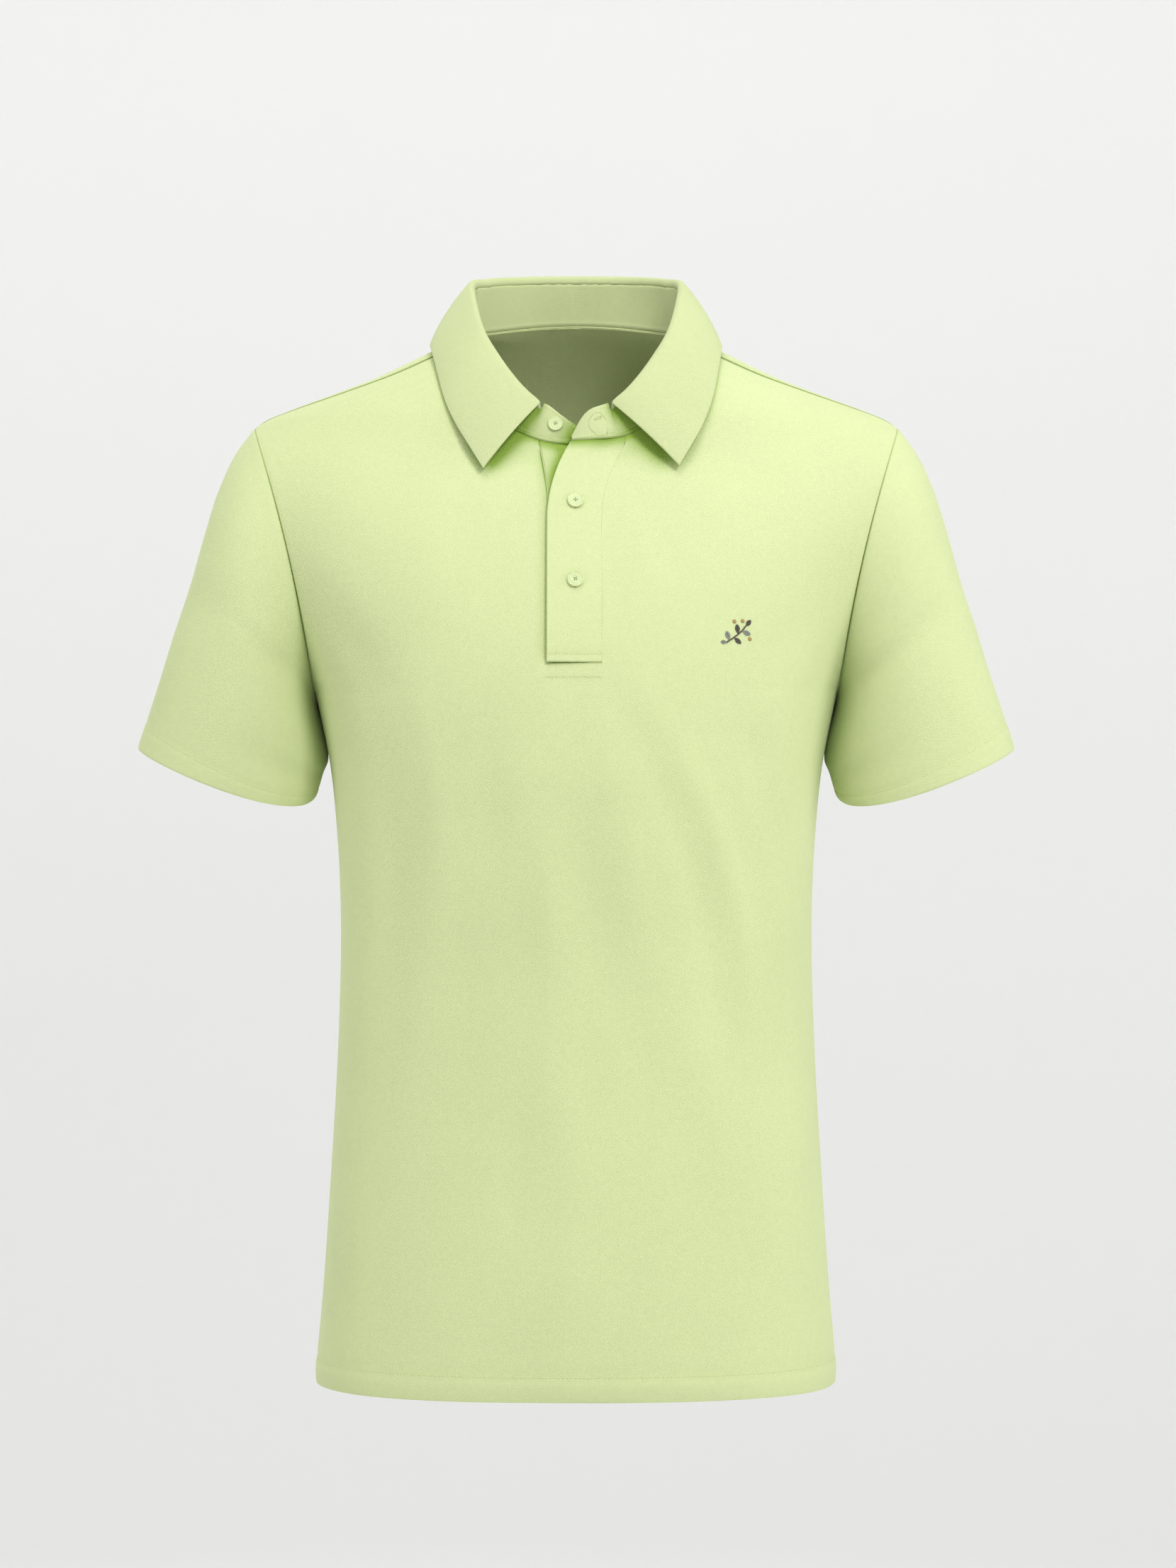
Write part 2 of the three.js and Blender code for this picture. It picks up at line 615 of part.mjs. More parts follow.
function collarStand() {
  const half = (side, ends) => {
    const thetas = [];
    for (let i = 0; i <= STAND_STEPS; i += 1) thetas.push((STAND_FOLD_END * i) / STAND_STEPS);
    thetas.push(STAND_FOLD_END + 2, ...ends.slice(1).map((row) => row.theta));
    return thetas.map((theta) => ({ side, theta }));
  };
  const columns = [...half(-1, STAND_END_RIGHT).reverse(), ...half(1, STAND_END_LEFT).slice(1)];
  const levels = [0, 0.5, 1];
  const grid = levels.map((level) =>
    columns.map(({ side, theta }) => {
      const bottom = neckSeam(theta, side);
      const top = standTop(theta, side);
      const run = neckSeam(theta + 1, side).sub(neckSeam(Math.max(theta - 1, 0), side)).normalize();
      const rise = top.clone().sub(bottom);
      rise.addScaledVector(run, -rise.dot(run)).setLength(STAND_RAISE);
      bottom.add(rise);
      const at = bottom.clone().lerp(top, level);
      const up = top.clone().sub(bottom).normalize();
      const outward = foldOutward(theta, side);
      outward.addScaledVector(up, -outward.dot(up)).normalize();
      return { at, normal: outward, wall: COLLAR_WALL };
    }),
  );
  return wallGeometry(grid);
}

function leafEdge(theta, side) {
  const at = new THREE.Vector3(fold.edgeX(theta), fold.edgeY(theta), fold.edgeZ(theta));
  if (side < 0) {
    const share = clamp((theta - 90) / 70, 0, 1);
    at.x -= RIGHT_LEAF_IN * share;
    at.y -= 2 * share;
    at.z -= RIGHT_LEAF_DROP * share;
  }
  return at.multiply(new THREE.Vector3(side, 1, 1));
}

function collarFall() {
  const last = COLLAR[COLLAR.length - 1].theta;
  const profile = (theta, side) => {
    const crown = foldPoint(theta, side);
    const out = foldOutward(theta, side);
    const up = new THREE.Vector3(0, 0, 1);
    const place = (o, z) => crown.clone().addScaledVector(out, o).addScaledVector(up, z);
    const middle = FOLD_RADIUS - COLLAR_WALL;
    const points = [place(-COLLAR_WALL, -FOLD_INSIDE), place(-COLLAR_WALL, -FOLD_RADIUS)];
    for (const turn of [130, 85, 40]) {
      const o = middle + FOLD_RADIUS * Math.cos(radians(turn));
      points.push(place(o, FOLD_RADIUS * (Math.sin(radians(turn)) - 1)));
    }
    const start = place(middle + FOLD_RADIUS, -FOLD_RADIUS - 0.5);
    const edge = leafEdge(theta, side);
    const bow = out.clone().addScaledVector(up, 0.5).normalize();
    for (let i = 0; i <= LEAF_STEPS; i += 1) {
      const t = i / LEAF_STEPS;
      points.push(start.clone().lerp(edge, t).addScaledVector(bow, 10 * t * (1 - t)));
    }
    return points;
  };
  const columns = [];
  for (let i = -FALL_STEPS; i <= FALL_STEPS; i += 1) {
    const side = i < 0 ? -1 : 1;
    columns.push(profile((Math.abs(i) / FALL_STEPS) * last, side));
  }
  const rows = columns[0].map((_, r) => columns.map((column) => column[r]));
  const grid = rows.map((row, r) =>
    row.map((at, c) => {
      const across = row[Math.min(c + 1, row.length - 1)].clone().sub(row[Math.max(c - 1, 0)]);
      const down = rows[Math.min(r + 1, rows.length - 1)][c].clone().sub(rows[Math.max(r - 1, 0)][c]);
      return { at, normal: down.cross(across).normalize(), wall: COLLAR_WALL };
    }),
  );
  return wallGeometry(grid);
}

// Buttons: a rimmed disc with a shallow dish, its back on the plane y = 0 of the profile

function buttonGeometry() {
  const profile = [
    [0, 0],
    [BUTTON_RADIUS - 0.6, 0],
    [BUTTON_RADIUS, 0.7],
    [BUTTON_RADIUS, BUTTON_HEIGHT - 0.5],
    [BUTTON_RADIUS - 0.7, BUTTON_HEIGHT],
    [BUTTON_RADIUS - 1.5, BUTTON_HEIGHT - 0.2],
    [BUTTON_RADIUS - 2.2, BUTTON_HEIGHT - 0.8],
    [0, BUTTON_HEIGHT - 0.8],
  ];
  return new THREE.LatheGeometry(profile.map(([r, h]) => new THREE.Vector2(r, h)), 16);
}

function placeButton(name, at, normal) {
  const mesh = piece(name, buttonGeometry(), BUTTON_COLOUR, 0.4);
  mesh.position.copy(at).addScaledVector(normal, BUTTON_GAP);
  mesh.quaternion.setFromUnitVectors(new THREE.Vector3(0, 1, 0), normal);
  return mesh;
}

function placketButton(name, z) {
  const across = (BUTTON_X - upperEdgeX(z)) / PLACKET_WIDTH;
  const { at, normal } = frontCorner(BUTTON_X, z, upperOut(across, z), PLACKET_WALL);
  return placeButton(name, at, normal);
}

function collarButton() {
  const { theta, up } = COLLAR_BUTTON;
  const bottom = neckSeam(theta, -1);
  const top = standTop(theta, -1);
  const near = standTop(theta + 2, -1);
  const rise = top.clone().sub(bottom);
  const normal = near.sub(top).cross(rise).normalize();
  if (normal.y > 0) normal.negate();
  return placeButton("button_collar", bottom.lerp(top, up), normal);
}

function piece(name, geometry, color = CLOTH_COLOUR, roughness = 0.9) {
  const material = new THREE.MeshStandardMaterial({ color, roughness, metalness: 0 });
  const mesh = new THREE.Mesh(geometry, material);
  mesh.name = name;
  return mesh;
}

const shirt = new THREE.Group();
shirt.add(
  piece("front_panel", frontPanel()),
  piece("back_panel", backPanel()),
  piece("sleeve_left", sleeve(1)),
  piece("sleeve_right", sleeve(-1)),
  piece("collar_stand", collarStand()),
  piece("collar_fall", collarFall()),
  piece("placket_upper", upperPlacket()),
  piece("placket_under", underPlacket()),
  collarButton(),
  placketButton("button_upper", UPPER_BUTTON_Z),
  placketButton("button_lower", LOWER_BUTTON_Z),
);

export default shirt;
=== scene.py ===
"""A short-sleeved polo shirt in its worn, hollow form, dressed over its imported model.

Shapes are worked out in millimetres and turned into metres when a mesh is made. +X is the wearer's left, -Y the
front and +Z up. The origin is the centre of the neck opening.
"""

import math

import bmesh
import bpy
import numpy as np
from mathutils import Matrix, Vector
from mathutils.bvhtree import BVHTree
from mathutils.kdtree import KDTree


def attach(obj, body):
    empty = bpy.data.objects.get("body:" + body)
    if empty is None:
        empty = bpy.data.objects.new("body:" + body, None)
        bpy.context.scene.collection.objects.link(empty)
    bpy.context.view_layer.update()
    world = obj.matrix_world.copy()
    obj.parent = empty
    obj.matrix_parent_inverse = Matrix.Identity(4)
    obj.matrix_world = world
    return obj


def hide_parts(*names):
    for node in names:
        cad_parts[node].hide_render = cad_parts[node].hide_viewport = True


bl_info = {
    "name": "Polo shirt",
    "version": (1, 0, 0),
    "blender": (4, 5, 0),
    "location": "3D View > Sidebar > Polo shirt",
    "description": "Makes the cloth, collar, placket, buttons and sewing of a worn polo shirt",
    "category": "Object",
}

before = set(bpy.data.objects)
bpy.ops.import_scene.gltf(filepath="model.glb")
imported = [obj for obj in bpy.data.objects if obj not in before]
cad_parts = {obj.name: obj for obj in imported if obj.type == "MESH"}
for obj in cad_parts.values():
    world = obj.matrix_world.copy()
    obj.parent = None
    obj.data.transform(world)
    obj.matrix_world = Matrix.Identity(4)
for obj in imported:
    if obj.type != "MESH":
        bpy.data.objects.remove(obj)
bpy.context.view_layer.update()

MM = 0.001
UP = np.array([0.0, 0.0, 1.0])

# Body
HEM_Z = -731
HEM_DEPTH = 17
UNDERARM_Z = -252
SHOULDER_POINT_Z = -66
FRONT_TOP_Z = -6

# Neckline
NECK_HALF = 80
NECK_DROP = 82
NECK_RISE = 11
NECK_POWER = 2.15

# Placket
PLACKET_WIDTH = 37
PLACKET_EDGE_X = -19.6
SLOT_LEFT_X = -18.6
SLOT_BOTTOM_Z = -233
V_BOTTOM_Z = -139
V_HEIGHT = 57
V_SHIFT_UPPER = 16.4
V_SHIFT_UNDER = 7
EDGE_PROUD = 2.2
EDGE_LIFT = 5.5
UNDER_REACH_X = 10
UNDER_DEPTH = 2

# Collar
FOLD_INSIDE = 6
FOLD_RADIUS = 3
COLLAR_WALL = 1.8
STAND_FOLD_END = 160.7
RIGHT_LEAF_IN = 7
RIGHT_LEAF_DROP = 1.5

# Buttons
BUTTON_X = -0.3
UPPER_BUTTON_Z = -122.7
LOWER_BUTTON_Z = -176.9
COLLAR_BUTTON = (171, 0.6)
COLLAR_BUTTON_SIZE = 0.9
HOLE_X = 0.78

# Where the small embroidered sprig sits on the wearer's left chest
SPRIG_X = 109
SPRIG_Z = -213


def table(columns, *rows):
    """Rows of numbers under named columns."""
    names = columns.split()
    return [dict(zip(names, row)) for row in rows]


# Level sections of the body: half width at the side, reach of the front and back centre lines, depth of the
# side point, and the powers of the half superellipses that join them
BODY = table(
    "z side front back mid power back_power",
    (-731, 182.5, 127, 116, 0, 2.5, 2.5),
    (-660, 176.5, 125.5, 113, 1, 2.5, 2.5),
    (-580, 171.3, 122.5, 107.5, 2, 2.45, 2.45),
    (-500, 166.9, 120, 100, 3, 2.4, 2.4),
    (-421, 164.9, 121.5, 103, 4, 2.4, 2.4),
    (-342, 168.1, 127, 110.5, 5, 2.4, 2.4),
    (-302, 172.3, 129.5, 114.5, 5, 2.35, 2.35),
    (-252, 182.5, 128.5, 120.5, 5, 2.3, 2.3),
    (-180, 198, 116.5, 123.5, 1.5, 2.15, 2.08),
    (-124, 205, 97, 117, -1.5, 2.1, 1.9),
    (-82, 205, 76, 107, -3.5, 2.1, 1.76),
    (-54, 205, 65, 98, -4, 2.1, 1.7),
    (-34, 205, 54, 88, -3, 2.1, 1.78),
    (-5, 205, 35, 67, -2, 2.1, 2.0),
    (11, 205, 22, 52, -2, 2.1, 2.1),
)

# The crest of the shoulders, and how far in front of it the shoulder seam lies
SHOULDER = table(
    "z crest forward",
    (-66, 225, 0),
    (-60, 215.8, 8),
    (-54, 201.2, 12),
    (-42, 169.4, 16.5),
    (-30, 139, 19),
    (-18, 114, 19.5),
    (-11, 99.6, 18),
    (-5, 88.6, 15),
    (0, 80, 15),
    (11, 69, 15),
)

# The sleeve's top line and underarm line, from the armhole seam to the hem
SLEEVE_LINES = table(
    "s top_x top_z under_x under_z",
    (0, 225, -66, 182.5, -252),
    (0.08, 236.8, -81.5, 181.6, -259),
    (0.2, 249.2, -107.3, 179.3, -267),
    (0.35, 260, -141.4, 176.9, -277),
    (0.5, 269.8, -175.7, 174.9, -288),
    (0.65, 281.3, -209.7, 174.4, -298),
    (0.8, 292.2, -243.6, 177.8, -308),
    (0.92, 301, -271, 180.8, -319),
    (1, 306.5, -289, 183, -325),
)

# The sleeve's sections: half depths, the middle's depth and lean, the bulge along it and the front edge's dip
SLEEVE_FORM = table(
    "s front back mid lean bulge dip",
    (0, 61, 57, 0.5, 4.5, -6, 0),
    (0.08, 63, 59, 0.5, 4, -1, 1),
    (0.2, 64, 60, 0, 3.5, 3, 3),
    (0.35, 64, 60, -1, 3, 4, 5),
    (0.5, 63, 59, -2, 2, 3, 7),
    (0.65, 60.5, 58, -3, 1.5, 2, 9),
    (0.8, 57.5, 56, -3.5, 1, 1, 10.5),
    (0.92, 55, 54, -4, 0, 0, 11.5),
    (1, 53.5, 53, -4, 0, 0, 11.5),
)

# The collar's fold and the outer edge of its leaf, from centre back to the collar points
COLLAR = table(
    "theta fold_x fold_y fold_z edge_x edge_y edge_z",
    (0, 0, 50, 47.5, 0, 66, 3),
    (30, 36, 45.5, 46.5, 47, 59, 1),
    (60, 62, 28, 43, 84, 38, -3),
    (90, 73, 3, 36, 103, 0, -7.5),
    (100, 70.5, -18, 21.5, 102, -21, -12),
    (110, 65.5, -38, 3.5, 99, -41, -28),
    (125, 53.7, -54, -18, 94, -60, -50),
    (140, 41.3, -65, -35.5, 87, -71, -68),
    (152, 31.8, -69, -46, 79.5, -80, -82),
    (160, 24.3, -70, -52.5, 70.6, -88, -97.5),
)
FOLD_END = COLLAR[-1]["theta"]

# The stand's free top edge beyond the fold, at each front end
STAND_END_LEFT = table(
    "theta top_x top_z", (160, 24.3, -52.5), (168, 17, -55.7), (174, 9, -59), (178, 3.5, -64.5), (181.8, -3.2, -76.5)
)
STAND_END_RIGHT = table(
    "theta top_x top_z", (160, 24.3, -52.5), (168, 17.5, -56), (174, 9.8, -62), (180, 0, -69), (188.2, -13, -76.5)
)

# Soft creases, each a ridge (or a trough, where its height is below nought) along its own length. Across and
# down are where its middle lies on the cloth, turn is its lean from upright in degrees.
FRONT_CREASES = table(
    "across down length width turn height",
    (-95, -352, 82, 13, -2, 2.3),
    (-114, -520, 90, 16, 11, 1.5),
    (-131, -388, 92, 17, 0, -2.3),
    (-134, -640, 70, 18, 4, -1.2),
    (-58, -345, 60, 13, 3, -1.2),
    (-70, -480, 75, 17, -4, -0.9),
    (-16, -420, 68, 14, -3, 1.9),
    (-3, -560, 66, 15, -6, 1.5),
    (-5, -668, 50, 17, 2, 1.2),
    (-40, -575, 60, 16, 4, -1.8),
    (12, -408, 58, 13, -5, -1.3),
    (38, -372, 60, 14, -8, 1.9),
    (86, -398, 120, 12, -13, -2.2),
    (115, -408, 120, 10, -12, 2.5),
    (139, -332, 58, 14, -14, -1.7),
    (152, -475, 95, 13, -6, -1.6),
    (92, -524, 60, 17, -8, 1.7),
    (46, -505, 68, 16, -5, -1.4),
    (58, -612, 70, 18, 3, 1.1),
    (112, -640, 62, 17, -3, -1.1),
    (22, -190, 24, 14, 20, -0.8),
    (64, -165, 30, 13, -35, -0.9),
    (43, -148, 28, 13, -30, 0.7),
    (-80, -145, 32, 17, 15, -0.9),
    (-57, -172, 30, 14, 8, -0.7),
    (-104, -182, 42, 18, 35, 0.7),
    (-158, -222, 34, 13, -42, -0.8),
    (-157, -277, 35, 14, -15, 0.9),
    (-150, -190, 40, 15, -42, 0.6),
    (151, -290, 45, 15, 6, 0.9),
    (154, -212, 34, 13, 42, -0.7),
    (162, -244, 36, 13, 42, 0.5),
    (-125, -110, 52, 18, 28, -0.9),
    (118, -104, 50, 17, -30, -0.8),
    (-4, -252, 12, 34, 90, -0.8),
)
BACK_CREASES = table(
    "across down length width turn height",
    (-120, -350, 90, 15, -7, 2.2),
    (-92, -440, 118, 14, -3, -1.9),
    (-52, -400, 105, 17, 3, 1.7),
    (-18, -480, 130, 15, -2, -1.7),
    (22, -395, 95, 17, 4, 1.5),
    (58, -460, 120, 15, -4, -1.8),
    (96, -380, 100, 15, 6, 2.0),
    (128, -480, 115, 14, 5, -1.9),
    (2, -620, 80, 20, 3, 1.3),
    (-70, -600, 85, 18, 5, 1.2),
    (70, -640, 60, 17, -4, -1.0),
    (-160, -520, 120, 17, -2, 1.3),
    (158, -560, 95, 16, 4, 1.3),
    (-158, -232, 60, 14, 40, -1.9),
    (155, -226, 58, 13, -42, -1.9),
    (-120, -262, 70, 15, 62, 1.4),
    (122, -270, 66, 16, -60, 1.4),
    (60, -150, 50, 24, 12, -1.0),
    (-55, -160, 55, 24, -10, -1.0),
    (-95, -90, 50, 20, 40, 0.9),
)
SLEEVE_CREASES = table(
    "across down length width turn height",
    (40, 120, 40, 14, -42, 1.1),
    (88, 92, 45, 13, -55, -1.7),
    (112, 60, 40, 12, -35, 1.2),
    (140, 48, 32, 11, -30, -1.4),
    (-70, 100, 42, 14, 48, -1.3),
    (-105, 66, 40, 12, 40, 1.3),
    (-135, 46, 30, 11, 32, -1.3),
    (10, 170, 55, 17, -12, -1.0),
    (62, 175, 40, 13, -8, 1.0),
    (-40, 165, 45, 15, 10, 1.0),
    (30, 60, 34, 15, 8, -0.8),
)


def through(rows, key, name):
    """A smooth curve through a table's rows, from one column to another, with no overshoot."""
    at = np.array([row[key] for row in rows], float)
    value = np.array([row[name] for row in rows], float)
    span = np.diff(at)
    rise = np.diff(value) / span
    slope = np.empty(len(at))
    slope[0] = rise[0]
    slope[-1] = rise[-1]
    even = (rise[:-1] * span[1:] + rise[1:] * span[:-1]) / (span[:-1] + span[1:])
    most = 3 * np.minimum(abs(rise[:-1]), abs(rise[1:]))
    slope[1:-1] = np.where(rise[:-1] * rise[1:] <= 0, 0, np.clip(even, -most, most))

    def curve(where):
        s = np.clip(where, at[0], at[-1])
        i = np.clip(np.searchsorted(at, s, side="left") - 1, 0, len(at) - 2)
        t = (s - at[i]) / span[i]
        bend = t * t * (3 - 2 * t)
        swing = t * (1 - t) * (1 - t) * slope[i] - t * t * (1 - t) * slope[i + 1]
        return value[i] + (value[i + 1] - value[i]) * bend + span[i] * swing

    return curve


def curves(rows):
    """A curve for every column of a table but its first."""
    key, *names = rows[0]
    return {name: through(rows, key, name) for name in names}


body = curves(BODY)
shoulder = curves(SHOULDER)
sleeve_line = curves(SLEEVE_LINES)
sleeve_form = curves(SLEEVE_FORM)
collar = curves(COLLAR)
stand_ends = {1: curves(STAND_END_LEFT), -1: curves(STAND_END_RIGHT)}


def pack(x, y, z):
    """Points from their coordinates."""
    return np.stack(np.broadcast_arrays(x, y, z), axis=-1).astype(float)


def unit(v):
    """Vectors of length one."""
    return v / np.maximum(np.linalg.norm(v, axis=-1, keepdims=True), 1e-9)


def sleeve_points(s, phi):
    """Points of the wearer's left sleeve, s along it and phi degrees round it from the top, the front first."""
    line = {name: curve(s) for name, curve in sleeve_line.items()}
    form = {name: curve(s) for name, curve in sleeve_form.items()}
    cos = np.cos(np.radians(phi))
    sin = np.sin(np.radians(phi))
    half_x = (line["top_x"] - line["under_x"]) / 2
    half_z = (line["top_z"] - line["under_z"]) / 2
    half = np.hypot(half_x, half_z)
    dip = form["dip"] * sin * (1 - 0.4 * cos) * np.where(sin > 0, 1, 0.6)
    along = form["bulge"] * sin * sin + dip
    depth = np.where(sin > 0, -form["front"] * sin, -form["back"] * sin)
    return pack(
        (line["top_x"] + line["under_x"]) / 2 + half_x * cos + along * half_z / half,
        form["mid"] - form["lean"] * cos + depth,
        (line["top_z"] + line["under_z"]) / 2 + half_z * cos - along * half_x / half,
    )


ARMHOLE_PHI = np.linspace(0, 180, 1441)
ARMHOLE_Z = sleeve_points(0.0, ARMHOLE_PHI)[:, 2]


def armhole_angle(z):
    """The angle round the armhole seam of its front point at height z."""
    return np.interp(z, ARMHOLE_Z[::-1], ARMHOLE_PHI[::-1])


def section(z, front):
    """Half width, reach, middle and power of the body's front or back half at height z."""
    power = np.where(front, body["power"](z), body["back_power"](z))
    mid = body["mid"](z)
    reach = np.where(front, body["front"](z) + mid, body["back"](z) - mid)
    phi = armhole_angle(z)
    seam = sleeve_points(0.0, np.where(front, phi, 360 - phi))
    share = np.clip(abs(seam[..., 1] - mid) / reach, 0, 0.9)
    beside = seam[..., 0] / (1 - share**power) ** (1 / power)
    half = np.where(z > UNDERARM_Z, beside, body["side"](z))
    half = np.where(z > SHOULDER_POINT_Z, shoulder["crest"](z), half)
    return half, reach, mid, power


def body_points(z, psi):
    """Points of the body at height z and angle psi: 0 at centre back, 90 at the left side, 180 in front."""
    sin = np.sin(np.radians(psi))
    cos = np.cos(np.radians(psi))
    half, reach, mid, power = section(z, cos < 0)
    x = np.sign(sin) * half * abs(sin) ** (2 / power)
    y = mid + np.sign(cos) * reach * abs(cos) ** (2 / power)
    return pack(x, y, z)


def front_angle(z, x):
    """The angle psi of the front's point at x and height z."""
    half, _, _, power = section(z, True)
    lean = np.degrees(np.arcsin(np.clip(abs(x) / half, 0, 1) ** (power / 2)))
    return np.where(np.asarray(x) > 0, 180 - lean, 180 + lean)


def depth_angle(z, y):
    """The angle psi of the point of the body whose depth is y."""
    front = y < body["mid"](z)
    _, reach, mid, power = section(z, front)
    lean = np.degrees(np.arccos(np.clip(abs(y - mid) / reach, 0, 1) ** (power / 2)))
    return np.where(front, 180 - lean, lean)


def neck_half_front(z):
    """Half the width of the neckline in front, at height z."""
    return NECK_HALF * (1 - np.clip(-z / NECK_DROP, 0, 1) ** NECK_POWER) ** (1 / NECK_POWER)


def neck_z(x):
    """The height of the front neckline at x."""
    return -NECK_DROP * (1 - np.clip(abs(x) / NECK_HALF, 0, 1) ** NECK_POWER) ** (1 / NECK_POWER)


def back_neck_angle(z):
    """The angle psi at which the back neckline crosses height z."""
    half, _, _, power = section(z, False)
    x = NECK_HALF * np.sqrt(np.clip(1 - z / NECK_RISE, 0, 1))
    return np.degrees(np.arcsin(np.clip(x / half, 0, 1) ** (power / 2)))


def panel_end(z, front):
    """The angle psi at which a panel ends on the wearer's left: at a side, armhole, shoulder or neck seam."""
    if z > FRONT_TOP_Z + 1:
        if z < 0:
            return float(front_angle(z, neck_half_front(z)))
        return float(back_neck_angle(z)) if z > 0 else 90.0
    if z > SHOULDER_POINT_Z:
        return float(depth_angle(z, body["mid"](z) - shoulder["forward"](z)))
    if z > UNDERARM_Z:
        phi = armhole_angle(z)
        return float(depth_angle(z, sleeve_points(0.0, phi if front else 360 - phi)[1]))
    return 90.0


def openness(z):
    """How far the V is open at height z, from nought to one."""
    return np.clip((z - V_BOTTOM_Z) / V_HEIGHT, 0, 1)


def upper_edge_x(z):
    """Where the upper placket's free edge lies."""
    return PLACKET_EDGE_X + V_SHIFT_UPPER * openness(z) ** 2.2


def under_edge_x(z):
    """Where the under placket joins the front."""
    return SLOT_LEFT_X - V_SHIFT_UNDER * openness(z) ** 2


def upper_out(across, z):
    """How far the upper placket stands out of the front's own surface, rounded over where the V turns it."""
    turned = openness(z) ** 2
    flat = 1 - across
    over = np.sin(np.pi / 2 * np.clip(flat / 0.6, 0, 1)) * (1 - 0.42 * np.clip((0.4 - across) / 0.4, 0, 1) ** 1.5)
    return EDGE_PROUD * flat + EDGE_LIFT * turned * (flat + (over - flat) * turned)


def under_out(x, z):
    """How far the under placket lies behind the front's own surface, as a number below nought."""
    start = under_edge_x(z)
    return -UNDER_DEPTH * np.clip(x - start, 0, UNDER_REACH_X - start) / (UNDER_REACH_X - start)


def front_surface(x, z, out):
    """Points of the front at x and height z, moved out of the surface."""
    at = body_points(z, front_angle(z, x))
    step = 0.5
    right = body_points(z, front_angle(z, x + step)) - body_points(z, front_angle(z, x - step))
    above = body_points(z + step, front_angle(z + step, x)) - body_points(z - step, front_angle(z - step, x))
    normal = unit(np.cross(right, above))
    return at + normal * np.asarray(out)[..., None], normal


# Grids of cloth


def marks(length, step, fine_start=(), fine_end=()):
    """Distances along a length, close together near ends that need it."""
    first = fine_start[-1] if len(fine_start) else 0
    last = fine_end[-1] if len(fine_end) else 0
    count = max(int(round((length - first - last) / step)), 1)
    middle = np.linspace(first, length - last, count + 1)
    return np.concatenate([np.asarray(fine_start)[:-1], middle, length - np.asarray(fine_end)[-2::-1]])


SEAM_MARKS = np.array([0, 0.25, 0.6, 1.1, 1.8, 2.9, 4.4, 6.4])
RIM_MARKS = np.array([0, 0.12, 0.35, 0.7, 1.2, 2, 3.4])


def even_row(z, start, end, shares):
    """Points of a level row of the body between two angles, spaced by the share of the row's own length."""
    dense = np.linspace(start, end, 160)
    points = body_points(z, dense)
    run = np.concatenate([[0], np.cumsum(np.linalg.norm(np.diff(points, axis=0), axis=1))])
    psi = np.interp(shares(run[-1]), run, dense)
    return body_points(z, psi), np.interp(psi, *((dense, run) if end > start else (dense[::-1], run[::-1])))


def grid_quads(rows, columns, ring=False, skip=None):
    """The quads of a grid of points numbered row by row."""
    r, c = np.meshgrid(np.arange(rows - 1), np.arange(columns if ring else columns - 1), indexing="ij")
    if skip is not None:
        keep = ~skip(r, c)
        r, c = r[keep], c[keep]
    r, c = r.ravel(), c.ravel()
    n = (c + 1) % columns
    return np.stack([r * columns + c, r * columns + n, (r + 1) * columns + n, (r + 1) * columns + c], axis=1)


def point_normals(points, quads):
    """The normal at every point, from the quads that meet there."""
    a, b, c, d = (points[quads[:, i]] for i in range(4))
    face = np.cross(c - a, d - b)
    normals = np.zeros_like(points)
    for i in range(4):
        np.add.at(normals, quads[:, i], face)
    return unit(normals)


def resample(line, step=0.5):
    """A polyline's points at even, close spacing."""
    line = np.asarray(line, float)
    run = np.concatenate([[0], np.cumsum(np.linalg.norm(np.diff(line, axis=0), axis=1))])
    at = np.linspace(0, run[-1], max(int(run[-1] / step), 2))
    return np.stack([np.interp(at, run, line[:, i]) for i in range(3)], axis=1)


def distance_to(points, lines):
    """Every point's distance to the nearest of some polylines."""
    if not lines:
        return np.full(len(points), 1e3)
    near = np.concatenate([resample(line) for line in lines])
    tree = KDTree(len(near))
    for i, p in enumerate(near):
        tree.insert(p, i)
    tree.balance()
    return np.array([tree.find(p)[2] for p in points])


def crease_heights(u, v, creases):
    """The height of all the creases together, at places across and down the cloth."""
    height = np.zeros_like(u)
    for crease in creases:
        turn = math.radians(crease["turn"])
        a, b = u - crease["across"], v - crease["down"]
        along = b * math.cos(turn) + a * math.sin(turn)
        across = a * math.cos(turn) - b * math.sin(turn)
        bow = across + 0.0012 * along * along
        height += crease["height"] * np.exp(-((along / crease["length"]) ** 2) - (bow / crease["width"]) ** 2)
    return height


def hem_wave(across, above, phase):
    """How a hem waves, across the cloth and at a height above its edge."""
    wave = np.sin(across / 21 + phase) + 0.7 * np.sin(across / 12.5 + 2.3 * phase) + 0.5 * np.sin(across / 37 - phase)
    return 0.42 * wave * np.clip(1 - above / 70, 0, 1) ** 2


